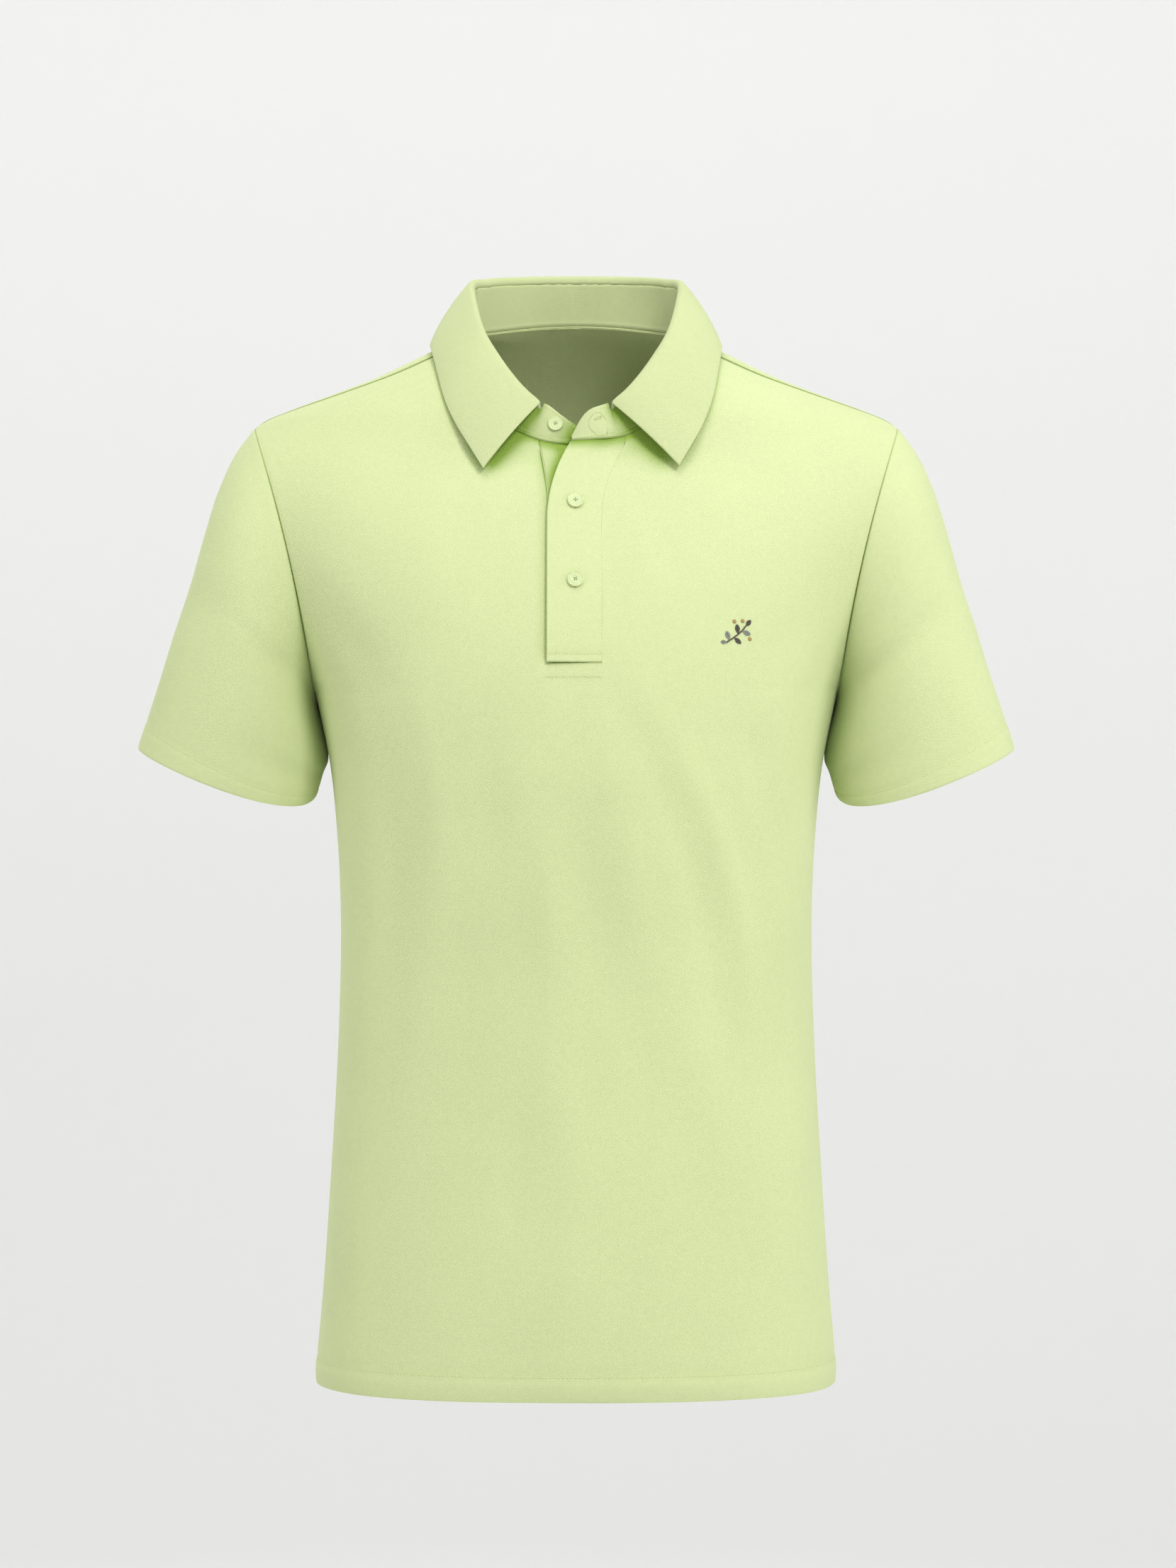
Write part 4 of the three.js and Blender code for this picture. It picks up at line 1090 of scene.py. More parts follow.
def stand_cloth():
    """The collar stand's cloth, from its left end behind to its right end in front."""
    columns, flat_u = [], []
    for side in (-1, 1):
        last = (STAND_END_LEFT if side > 0 else STAND_END_RIGHT)[-1]["theta"]
        thetas, run = even_thetas(lambda t: neck_seam(t, 1), last, 3, RIM_MARKS)
        thetas, run = (thetas[::-1], -run[::-1]) if side < 0 else (thetas[1:], run[1:])
        columns.append((side, thetas))
        flat_u.append(run)
    low = [0, 0.01, 0.03, 0.05, 0.07, 0.09, 0.11, 0.13, 0.16]
    levels = np.concatenate([low, np.linspace(0.2, 0.88, 12), [0.93, 0.965, 0.99, 1]])
    up = levels[:, None, None]
    parts = []
    for side, thetas in columns:
        bottom, top = neck_seam(thetas, side), stand_top(thetas, side)
        out = fold_outward(thetas, side)
        rise = top - bottom
        tall = np.linalg.norm(rise, axis=-1, keepdims=True)
        bow = np.sin(np.pi * up) * 0.6 + 0.5 * (1 - up)
        cord = 0.75 * np.exp(-(((up * tall - 1.7) / 1.0) ** 2)) - 0.25 * np.exp(-(((up * tall - 3.7) / 0.9) ** 2))
        start = bottom - unit(rise) * 0.9
        parts.append(start + (top - start) * up + out * (bow + cord))
    grid = np.concatenate(parts, axis=1)
    u = np.concatenate(flat_u)
    flat = np.stack(np.broadcast_arrays(u[None, :], levels[:, None] * 34 + 900), axis=-1)
    cloth = Cloth(grid, grid_quads(*grid.shape[:2]), flat)
    cloth.face((grid * [1, 1, 0]).reshape(-1, 3))
    cloth.wall = np.full(len(cloth.points), 1.7)
    # Painted shade along the neck seam and the groove above its cord
    cloth.paint_shade([grid[0]], 1.0, 0.7)
    cloth.paint_shade([grid[6]], 0.7, 0.45)
    cloth.round_edges([grid[-1], grid[0], grid[:, 0], grid[:, -1]])
    return cloth


def fall_cloth():
    """The collar fall's cloth: a strip inside the fold, the fold's roll, and the leaf down to its edge."""
    parts, flat_u = [], []
    leaf = np.concatenate([np.linspace(0, 1, 15)[1:-1], 1 - np.array([2, 1.2, 0.6, 0.3, 0.1, 0]) / 48])
    for side in (-1, 1):
        thetas, run = even_thetas(lambda t: leaf_edge(t, 1), FOLD_END, 3.5, RIM_MARKS)
        crown, out, edge = fold_points(thetas, side), fold_outward(thetas, side), leaf_edge(thetas, side)
        middle = FOLD_RADIUS - COLLAR_WALL
        rows = [crown - COLLAR_WALL * out - (FOLD_INSIDE + 0.4) * UP, crown - COLLAR_WALL * out - 4.5 * UP]
        rows.append(crown - COLLAR_WALL * out - FOLD_RADIUS * UP)
        bow = unit(out + 0.5 * UP)
        last = np.zeros(len(thetas))

        def roll(turn):
            """A point of the fold's roll, turned so far from level."""
            cos, sin = np.cos(turn)[:, None], np.sin(turn)[:, None]
            return crown + (middle + FOLD_RADIUS * cos) * out + FOLD_RADIUS * (sin - 1) * UP

        for _ in range(5):
            way = edge - roll(last) + 10 * bow
            last = np.arctan2((way * out).sum(axis=1), -way[:, 2])
        for share in np.linspace(0, 1, 8):
            rows.append(roll(math.radians(150) * (1 - share) + last * share))
        start = rows[-1]
        for t in leaf:
            rows.append(start + (edge - start) * t + bow * 10 * t * (1 - t))
        part = np.stack(rows)
        if side < 0:
            part, run = part[:, ::-1], -run[::-1]
        parts.append(part if side < 0 else part[:, 1:])
        flat_u.append(run if side < 0 else run[1:])
    grid = np.concatenate(parts, axis=1)
    u = np.concatenate(flat_u)
    down = np.concatenate([[0], np.cumsum(np.linalg.norm(np.diff(grid, axis=0), axis=2).mean(axis=1))])
    flat = np.stack(np.broadcast_arrays(u[None, :], down[:, None] + 1100), axis=-1)
    cloth = Cloth(grid, grid_quads(*grid.shape[:2]), flat)
    leaf_rows = (np.arange(len(grid)) > 11)[:, None, None]
    cloth.face((grid * [1, 1, 0] * leaf_rows).reshape(-1, 3))
    wave = 0.5 * np.sin(cloth.flat[:, 0] / 31.0) + 0.35 * np.sin(cloth.flat[:, 0] / 13.0 + 1.1)
    cloth.push(wave * np.clip((cloth.flat[:, 1] - 1118) / 45, 0, 1) * 0.8)
    cloth.wall = np.full(len(cloth.points), COLLAR_WALL)
    pressed = distance_to(cloth.points, [grid[-1], grid[:, 0], grid[:, -1]])
    cloth.push(-0.25 * np.exp(-((pressed / 2.2) ** 2)))
    cloth.round_edges([grid[-1], grid[:, 0], grid[:, -1], grid[0]])
    return cloth


# Placket


def strip_grid(place, fine_across, top_gap):
    """A placket strip's grid of points: across its width, and up from the slot's bottom to the neckline."""
    across = marks(PLACKET_WIDTH, 2.2, *fine_across) / PLACKET_WIDTH
    up = marks(1, 0.018, RIM_MARKS / 154, (0, 0.006, 0.014))
    bottom = SLOT_BOTTOM_Z + 0.1
    rows = []
    for t in up:
        z = np.full(len(across), bottom + (neck_z(0) - bottom) * t)
        for _ in range(6):
            x = place(across, z)
            z = bottom + (neck_z(x) + top_gap - bottom) * t
        rows.append((x, z))
    x = np.stack([row[0] for row in rows])
    z = np.stack([row[1] for row in rows])
    return x, z, np.broadcast_to(across, x.shape)


def upper_placket_cloth():
    """The upper placket strip: its free edge stands proud and lifts into the V."""
    def place(a, level):
        return upper_edge_x(level) + PLACKET_WIDTH * a

    x, z, across = strip_grid(place, (RIM_MARKS, SEAM_MARKS[:4]), 0.6)
    points, _ = front_surface(x, z, upper_out(across, z))
    flat = np.stack([x, z], axis=-1)
    cloth = Cloth(points, grid_quads(*x.shape), flat)
    cloth.face(np.array([0, -1, 0]))
    roll = np.exp(-(((across - 0.62) / 0.2) ** 2)) * openness(z) ** 1.5
    cloth.push(-1.5 * roll.ravel())
    box_line = [front_surface(x[0], np.full(x.shape[1], SLOT_BOTTOM_Z + 5.6), upper_out(across[0], z[0]))[0]]
    d = distance_to(cloth.points, box_line)
    cloth.push(-0.3 * np.exp(-((d / 1.1) ** 2)))
    cloth.wall = np.full(len(cloth.points), 1.6)
    # Painted shade along the foot and the box's stitch line
    cloth.paint_shade([points[0]], 0.5, 0.7)
    cloth.paint_shade(box_line, 0.7, 0.25)
    cloth.round_edges([points[:, 0], points[0]])
    return cloth


def under_placket_cloth():
    """The under placket strip, behind the upper one, seen in the V."""
    def place(a, level):
        start = under_edge_x(level)
        return start + (UNDER_REACH_X - start) * a

    x, z, across = strip_grid(place, (SEAM_MARKS[:5], RIM_MARKS), 0.6)
    points, _ = front_surface(x, z, under_out(x, z))
    cloth = Cloth(points, grid_quads(*x.shape), np.stack([x + 300, z], axis=-1))
    cloth.face(np.array([0, -1, 0]))
    d = distance_to(cloth.points, [points[:, 0]])
    cloth.push(-0.5 * np.exp(-((d / 1.2) ** 2)))
    cloth.wall = np.full(len(cloth.points), 1.5)
    # Painted shade along the seam
    cloth.paint_shade([points[:, 0]], 0.9, 0.6)
    cloth.round_edges([points[:, -1], points[0]])
    return cloth


# Sewing


def stitch_tree(name, material):
    """A node tree that lays a small thread stitch at even steps along a line."""
    old = bpy.data.node_groups.get(name)
    if old:
        bpy.data.node_groups.remove(old)
    tree = bpy.data.node_groups.new(name, "GeometryNodeTree")
    face = tree.interface
    face.new_socket("Line", in_out="INPUT", socket_type="NodeSocketGeometry")
    for label, default in (("Pitch", 0.003), ("Length", 0.0022), ("Width", 0.0006)):
        socket = face.new_socket(label, in_out="INPUT", socket_type="NodeSocketFloat")
        socket.default_value = default
        socket.subtype = "DISTANCE"
    face.new_socket("Thread", in_out="INPUT", socket_type="NodeSocketMaterial")
    face.new_socket("Stitches", in_out="OUTPUT", socket_type="NodeSocketGeometry")
    nodes = Nodes(tree)
    start = nodes.add("NodeGroupInput")
    end = nodes.add("NodeGroupOutput")
    line = nodes.add("GeometryNodeMeshToCurve", {"Mesh": start.outputs["Line"]})
    points = nodes.add("GeometryNodeCurveToPoints", {"Curve": line.outputs["Curve"]}, mode="LENGTH")
    tree.links.new(start.outputs["Pitch"], points.inputs["Length"])
    bead = nodes.add("GeometryNodeMeshUVSphere", {"Segments": 8, "Rings": 5, "Radius": 0.5})
    size = nodes.add("ShaderNodeCombineXYZ", {"X": start.outputs["Width"], "Y": start.outputs["Width"],
                                              "Z": start.outputs["Length"]})
    place = nodes.add("GeometryNodeInstanceOnPoints", {
        "Points": points.outputs["Points"], "Instance": bead.outputs["Mesh"],
        "Rotation": points.outputs["Rotation"], "Scale": size.outputs["Vector"],
    })
    smooth = nodes.add("GeometryNodeSetShadeSmooth", {"Geometry": place.outputs["Instances"]})
    real = nodes.add("GeometryNodeRealizeInstances", {"Geometry": smooth.outputs["Geometry"]})
    paint = nodes.add("GeometryNodeSetMaterial", {"Geometry": real.outputs["Geometry"],
                                                  "Material": start.outputs["Thread"]})
    tree.links.new(paint.outputs["Geometry"], end.inputs["Stitches"])
    return tree


def stitch_lines(name, lines, material, pitch, length, width):
    """Stitches along polylines in millimetres, as one plain mesh object."""
    mesh = bpy.data.meshes.new(name + "_lines")
    points, edges = [], []
    for line in lines:
        first = len(points)
        points.extend((np.asarray(line) * MM).tolist())
        edges.extend((first + i, first + i + 1) for i in range(len(line) - 1))
    mesh.from_pydata(points, edges, [])
    obj = add_object(name, mesh)
    tree = stitch_tree(name + "_tree", material)
    modifier = obj.modifiers.new("stitches", "NODES")
    modifier.node_group = tree
    sizes = {"Pitch": pitch * MM, "Length": length * MM, "Width": width * MM, "Thread": material}
    for item in tree.interface.items_tree:
        if item.name in sizes:
            modifier[item.identifier] = sizes[item.name]
    bpy.context.view_layer.update()
    evaluated = obj.evaluated_get(bpy.context.evaluated_depsgraph_get())
    plain = bpy.data.meshes.new_from_object(evaluated)
    obj.modifiers.clear()
    obj.data = plain
    plain.name = name
    bpy.data.meshes.remove(mesh)
    bpy.data.node_groups.remove(tree)
    if not plain.polygons:
        raise RuntimeError(name + " has no stitches")
    return obj


def lay_on(cloth_name, line, lift=0.02):
    """A line moved onto a finished cloth's outer surface."""
    tree = cloths[cloth_name].tree()
    placed = []
    for point in line:
        at, normal, _, _ = tree.find_nearest(Vector(point))
        placed.append(np.array(at + normal * lift))
    return np.array(placed)


def slot_lines(centre, along, across, length, width):
    """The outline of a small stitched slot, as one closed line."""
    turns = np.linspace(0, 2 * math.pi, 37)
    reach = length / 2 - width / 2
    offset = [
        (np.sign(math.cos(t)) * reach + math.cos(t) * width / 2) * along + math.sin(t) * width / 2 * across
        for t in turns
    ]
    return resample([centre + o for o in offset], 0.4)


# Buttons


def button_object(name, at, normal, material, turn, size):
    """A flat button with a thin rim, a shallow dish and four thread holes, seated at a point."""
    profile = [
        (0, 0), (4.9, 0), (5.4, 0.25), (5.62, 0.7), (5.65, 1.25), (5.55, 1.55), (5.35, 1.7), (5.1, 1.72), (4.92, 1.64),
        (4.8, 1.53), (4.55, 1.49), (3.2, 1.52), (2.4, 1.5), (2.1, 1.42), (1.75, 1.33), (0.8, 1.3), (0, 1.3),
    ]
    mesh = bmesh.new()
    segments = 56
    rings = []
    for r, h in profile:
        if r == 0:
            rings.append([mesh.verts.new((0, 0, h))])
            continue
        rings.append([mesh.verts.new((r * math.cos(2 * math.pi * i / segments),
                                      r * math.sin(2 * math.pi * i / segments), h)) for i in range(segments)])
    for low, high in zip(rings, rings[1:]):
        for i in range(segments):
            j = (i + 1) % segments
            loop = [low[i % len(low)], low[j % len(low)], high[j % len(high)], high[i % len(high)]]
            mesh.faces.new(list(dict.fromkeys(loop)))
    bmesh.ops.recalc_face_normals(mesh, faces=mesh.faces)
    data = bpy.data.meshes.new(name)
    mesh.to_mesh(data)
    mesh.free()
    obj = add_object(name, data)
    drills = drill_mesh(name + "_drill")
    cut = obj.modifiers.new("holes", "BOOLEAN")
    cut.operation = "DIFFERENCE"
    cut.solver = "EXACT"
    cut.object = drills
    bpy.context.view_layer.update()
    plain = bpy.data.meshes.new_from_object(obj.evaluated_get(bpy.context.evaluated_depsgraph_get()))
    obj.modifiers.clear()
    obj.data = plain
    bpy.data.objects.remove(drills)
    plain.polygons.foreach_set("use_smooth", [True] * len(plain.polygons))
    plain.set_sharp_from_angle(angle=math.radians(40))
    plain.materials.clear()
    plain.materials.append(material)
    move_mesh(plain, at, normal, turn, size)
    return obj


def drill_mesh(name):
    """Four small posts where a button's thread holes are."""
    mesh = bmesh.new()
    for x, y in ((1, 1), (-1, 1), (-1, -1), (1, -1)):
        made = bmesh.ops.create_cone(mesh, cap_ends=True, segments=16, radius1=0.42, radius2=0.42, depth=6)
        bmesh.ops.translate(mesh, verts=made["verts"], vec=(x * HOLE_X, y * HOLE_X, 1))
    data = bpy.data.meshes.new(name)
    mesh.to_mesh(data)
    mesh.free()
    return add_object(name, data)


def move_mesh(mesh, at, normal, turn, size):
    """Scales a mesh made about +Z, turns it to face along a direction and moves it there, in millimetres."""
    facing = Vector(normal).to_track_quat("Z", "Y").to_matrix().to_4x4()
    spin = Matrix.Rotation(math.radians(turn), 4, "Z") @ Matrix.Scale(size, 4)
    mesh.transform(Matrix.Scale(MM, 4) @ Matrix.Translation(Vector(at)) @ facing @ spin)
    mesh.update()


def thread_mesh(name, strands, radius, material):
    """Threads as soft capsules between pairs of points, in millimetres."""
    sides, caps = 6, (0.0, 0.06, 0.2, 0.8, 0.94, 1.0)
    swell = (0.25, 0.75, 1.0, 1.0, 0.75, 0.25)
    points, faces = [], []
    for start, end, up in strands:
        start, end, up = np.asarray(start), np.asarray(end), unit(np.asarray(up))
        along = unit(end - start)
        beside = unit(np.cross(along, up))
        over = np.cross(beside, along)
        first = len(points)
        for t, fat in zip(caps, swell):
            arch = math.sin(math.pi * t) * radius * 0.7
            centre = start + (end - start) * t + over * arch
            for i in range(sides):
                a = 2 * math.pi * i / sides
                points.append(centre + (beside * math.cos(a) + over * math.sin(a)) * radius * fat)
        for ring in range(len(caps) - 1):
            for i in range(sides):
                j = (i + 1) % sides
                base = first + ring * sides
                faces.append((base + i, base + j, base + sides + j, base + sides + i))
        faces.append([first + i for i in range(sides)][::-1])
        faces.append([first + (len(caps) - 1) * sides + i for i in range(sides)])
    mesh = bpy.data.meshes.new(name)
    mesh.from_pydata((np.array(points) * MM).tolist(), [], faces)
    shaping = bmesh.new()
    shaping.from_mesh(mesh)
    bmesh.ops.recalc_face_normals(shaping, faces=shaping.faces)
    shaping.to_mesh(mesh)
    shaping.free()
    mesh.polygons.foreach_set("use_smooth", [True] * len(mesh.polygons))
    mesh.materials.append(material)
    return add_object(name, mesh)


def button_seat(where, z=None):
    """The seat of a button: its point, the way it faces and the cloth it lies on."""
    if where == "placket":
        at, normal, _, _ = cloths["placket_upper_cloth"].tree().find_nearest(
            Vector(front_surface(np.array(float(BUTTON_X)), np.array(float(z)), 2.0)[0])
        )
    else:
        theta, up = COLLAR_BUTTON
        bottom, top = neck_seam(np.array(float(theta)), -1), stand_top(np.array(float(theta)), -1)
        at, normal, _, _ = cloths["collar_stand_cloth"].tree().find_nearest(
            Vector(bottom + (top - bottom) * up + np.array([0, -3, 0]))
        )
    at, normal = np.array(at), np.array(normal)
    return at, normal if normal[1] < 0 else -normal


# Settings, operators and the panel


class PoloShirtSettings(bpy.types.PropertyGroup):
    """Sizes and colours of the shirt's finish."""

    cloth_colour: bpy.props.FloatVectorProperty(
        name="Cloth", description="Colour of the knit", subtype="COLOR", size=4, min=0, max=1,
        default=(0.672, 0.755, 0.392, 1),
    )
    button_colour: bpy.props.FloatVectorProperty(
        name="Buttons", description="Colour of the buttons", subtype="COLOR", size=4, min=0, max=1,
        default=(0.64, 0.735, 0.385, 1),
    )
    thread_colour: bpy.props.FloatVectorProperty(
        name="Thread", description="Colour of the sewing thread", subtype="COLOR", size=4, min=0, max=1,
        default=(0.62, 0.71, 0.34, 1),
    )
    knit_pitch: bpy.props.FloatProperty(
        name="Knit pitch", description="Distance between the knit's diagonal ribs", default=0.0011, min=0.0003,
        max=0.005, unit="LENGTH",
    )
    crease_share: bpy.props.FloatProperty(
        name="Creases", description="How deep the soft creases are", default=1.0, min=0, max=3, subtype="FACTOR",
    )
    stitch_pitch: bpy.props.FloatProperty(
        name="Stitch pitch", description="Distance from one stitch to the next, in millimetres", default=2.8,
        min=1, max=8,
    )
    stitch_length: bpy.props.FloatProperty(
        name="Stitch length", description="Length of one stitch, in millimetres", default=2.1, min=0.5, max=7,
    )
    stitch_width: bpy.props.FloatProperty(
        name="Stitch width", description="Thickness of the thread, in millimetres", default=0.5, min=0.2, max=2,
    )


def dress(obj, node):
    """Makes a piece stand for a node of the model."""
    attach(obj, "root")
    if node:
        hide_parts(node)
    return obj


class POLO_OT_body(bpy.types.Operator):
    """Make the front and back panels"""

    bl_idname = "polo.body"
    bl_label = "Front and back"

    def execute(self, context):
        for name, node, make in (
            ("front_cloth", "front_panel", front_cloth),
            ("back_cloth", "back_panel", back_cloth),
        ):
            cloths[name] = make()
            dress(cloths[name].build(name, cloth_material()), node)
        return {"FINISHED"}


class POLO_OT_sleeves(bpy.types.Operator):
    """Make both sleeves"""

    bl_idname = "polo.sleeves"
    bl_label = "Sleeves"

    def execute(self, context):
        for name, node, side in (
            ("sleeve_left_cloth", "sleeve_left", 1),
            ("sleeve_right_cloth", "sleeve_right", -1),
        ):
            cloths[name] = sleeve_cloth(side)
            dress(cloths[name].build(name, cloth_material()), node)
        return {"FINISHED"}


class POLO_OT_collar(bpy.types.Operator):
    """Make the collar's stand and fall"""

    bl_idname = "polo.collar"
    bl_label = "Collar"

    def execute(self, context):
        for name, node, make in (
            ("collar_stand_cloth", "collar_stand", stand_cloth),
            ("collar_fall_cloth", "collar_fall", fall_cloth),
        ):
            cloths[name] = make()
            dress(cloths[name].build(name, collar_material()), node)
        return {"FINISHED"}


class POLO_OT_placket(bpy.types.Operator):
    """Make the two placket strips"""

    bl_idname = "polo.placket"
    bl_label = "Placket"

    def execute(self, context):
        for name, node, make in (
            ("placket_upper_cloth", "placket_upper", upper_placket_cloth),
            ("placket_under_cloth", "placket_under", under_placket_cloth),
        ):
            cloths[name] = make()
            dress(cloths[name].build(name, cloth_material()), node)
        return {"FINISHED"}


class POLO_OT_shade(bpy.types.Operator):
    """Paint shade into the cloth's colour where other cloth closes in"""

    bl_idname = "polo.shade"
    bl_label = "Close shade"

    def execute(self, context):
        for name, close in painted_close_shade().items():
            mesh = bpy.data.objects[name].data
            mesh.attributes["close"].data.foreach_set("value", np.concatenate([close, close * 0]))
        return {"FINISHED"}


class POLO_OT_buttons(bpy.types.Operator):
    """Make the three buttons and their threads"""

    bl_idname = "polo.buttons"
    bl_label = "Buttons"

    def execute(self, context):
        settings = shirt_settings()
        resin = button_material("button_resin", settings.button_colour)
        thread = thread_material("button_thread", tuple(c * 0.72 for c in settings.thread_colour))
        seats = {
            "button_collar": (button_seat("stand"), 20, COLLAR_BUTTON_SIZE),
            "button_upper": (button_seat("placket", UPPER_BUTTON_Z), 45, 1.0),
            "button_lower": (button_seat("placket", LOWER_BUTTON_Z), 10, 1.0),
        }
        for node, ((at, normal), turn, size) in seats.items():
            seat = at + normal * 0.15
            dress(button_object(node + "_resin", seat, normal, resin, turn, size), node)
            right = unit(np.cross(UP, normal))
            up = np.cross(normal, right)
            spin = math.radians(turn)
            across = right * math.cos(spin) + up * math.sin(spin)
            over = np.cross(normal, across)
            middle = seat + normal * 1.32 * size
            strands = []
            for a in (across + over, across - over):
                for step in (-0.16, 0.16):
                    shift = unit(np.cross(a, normal)) * step
                    reach = a * HOLE_X * size
                    strands.append((middle + reach + shift, middle - reach + shift, normal))
            dress(thread_mesh(node + "_thread", strands, 0.2, thread), None)
        return {"FINISHED"}


class POLO_OT_stitching(bpy.types.Operator):
    """Sew the hems, the placket, the collar and the buttonholes"""

    bl_idname = "polo.stitching"
    bl_label = "Stitching"

    def execute(self, context):
        settings = shirt_settings()
        thread = thread_material("seam_thread", settings.thread_colour)
        sizes = (settings.stitch_pitch, settings.stitch_length, settings.stitch_width)
        stitch_z = HEM_Z + HEM_DEPTH
        front = lay_on("front_cloth", body_points(stitch_z, np.linspace(90.5, 269.5, 260)))
        back = lay_on("back_cloth", body_points(stitch_z, np.linspace(-89.5, 89.5, 260)))
        dress(stitch_lines("body_hem_stitches", [front, back], thread, *sizes), None)
        for name, side in (("sleeve_left", 1), ("sleeve_right", -1)):
            ring = sleeve_points(0.925, np.linspace(0, 360, 160)) * np.array([side, 1, 1])
            ring = lay_on(name + "_cloth", ring)
            dress(stitch_lines(name + "_hem_stitches", [ring], thread, *sizes), None)
        # Painted shade: the thread of the rows sunk in the placket's seams is darkened to 0.55 of its colour
        deep = thread_material("sunk_thread_painted_shade", tuple(c * 0.55 for c in settings.thread_colour))
        dress(stitch_lines("placket_stitches", self.placket(), thread, 2.4, 1.8, 0.42), None)
        dress(stitch_lines("placket_sunk_stitches", self.sunk(), deep, 1.7, 1.15, 0.4), None)
        dress(stitch_lines("placket_edge_stitches", [self.edge()], thread, 0.95, 0.8, 0.34), None)
        dress(stitch_lines("collar_stitches", self.collar(), thread, 2.4, 1.8, 0.4), None)
        close = thread_material("buttonhole_thread", tuple(c * 0.8 for c in settings.thread_colour))
        dress(stitch_lines("buttonhole_stitches", self.buttonholes(), close, 0.42, 0.5, 0.55), None)
        # Painted shade: the button's pressed dent is drawn as a ring of the darker buttonhole thread
        dress(stitch_lines("collar_ring_painted_shade", [self.ring()], close, 0.62, 0.8, 0.42), None)
        return {"FINISHED"}

    def placket(self):
        """The box stitching above and below the placket's foot."""
        x = np.linspace(PLACKET_EDGE_X + 1.6, PLACKET_EDGE_X + PLACKET_WIDTH - 1.2, 24)
        z = np.full(len(x), float(SLOT_BOTTOM_Z))
        top = lay_on("placket_upper_cloth", front_surface(x, z + 5.6, 2.0)[0])
        low = lay_on("front_cloth", front_surface(x, z - 9.8, 0.5)[0])
        return [top, low]

    def sunk(self):
        """The deep rows: along the placket's foot and the under placket's seam."""
        x = np.linspace(PLACKET_EDGE_X + 0.4, PLACKET_EDGE_X + PLACKET_WIDTH - 0.6, 24)
        foot = lay_on("front_cloth", front_surface(x, np.full(24, SLOT_BOTTOM_Z - 0.35), 0.5)[0], -0.05)
        high = np.linspace(-152, -83, 40)
        under = lay_on("placket_under_cloth", front_surface(under_edge_x(high) + 0.9, high, 0.0)[0], -0.03)
        return [foot, under]

    def edge(self):
        """The fine beading along the upper placket's free edge."""
        up = np.linspace(SLOT_BOTTOM_Z + 1, -84, 110)
        line = front_surface(upper_edge_x(up) + 0.45, up, upper_out(0.012, up))[0]
        return lay_on("placket_upper_cloth", line, -0.06)

    def collar(self):
        """The rows above the stand's seam and inside the top edge of its ends."""
        lines = []
        for side, last in ((1, 180.5), (-1, 186.5)):
            theta = np.linspace(118, last, 70)
            base, top = neck_seam(theta, side), stand_top(theta, side)
            lines.append(lay_on("collar_stand_cloth", base + unit(top - base) * 2.9 + np.array([0, -0.6, 0])))
            theta = np.linspace(163, last - 2, 24)
            base, top = neck_seam(theta, side), stand_top(theta, side)
            lines.append(lay_on("collar_stand_cloth", top - unit(top - base) * 2.4 + np.array([0, -0.6, 0])))
        return lines

    def ring(self):
        """The round mark that a button pressed into the stand's open end, drawn in darker thread as its painted shade.
        """
        turns = np.radians(np.linspace(25, 345, 90))
        line = pack(17 + 8.3 * np.cos(turns), -84.0, -67.6 + 8.3 * np.sin(turns))
        return lay_on("collar_stand_cloth", line, 0.04)

    def buttonholes(self):
        """One hole under each placket button, and the open one at the stand's end."""
        lines = []
        for z in (UPPER_BUTTON_Z, LOWER_BUTTON_Z):
            at, normal = button_seat("placket", z)
            right = unit(np.cross(UP, normal))
            up = np.cross(normal, right)
            lines.append(lay_on("placket_upper_cloth", slot_lines(at, up, right, 12, 1.4)))
        slant = unit(np.array([1.0, 0.0, 0.42]))
        over = np.cross(slant, [0.0, 1.0, 0.0]) * -1
        lines.append(lay_on("collar_stand_cloth", slot_lines(np.array([16.6, -84.0, -63.6]), slant, over, 7.4, 1.4)))
        return lines


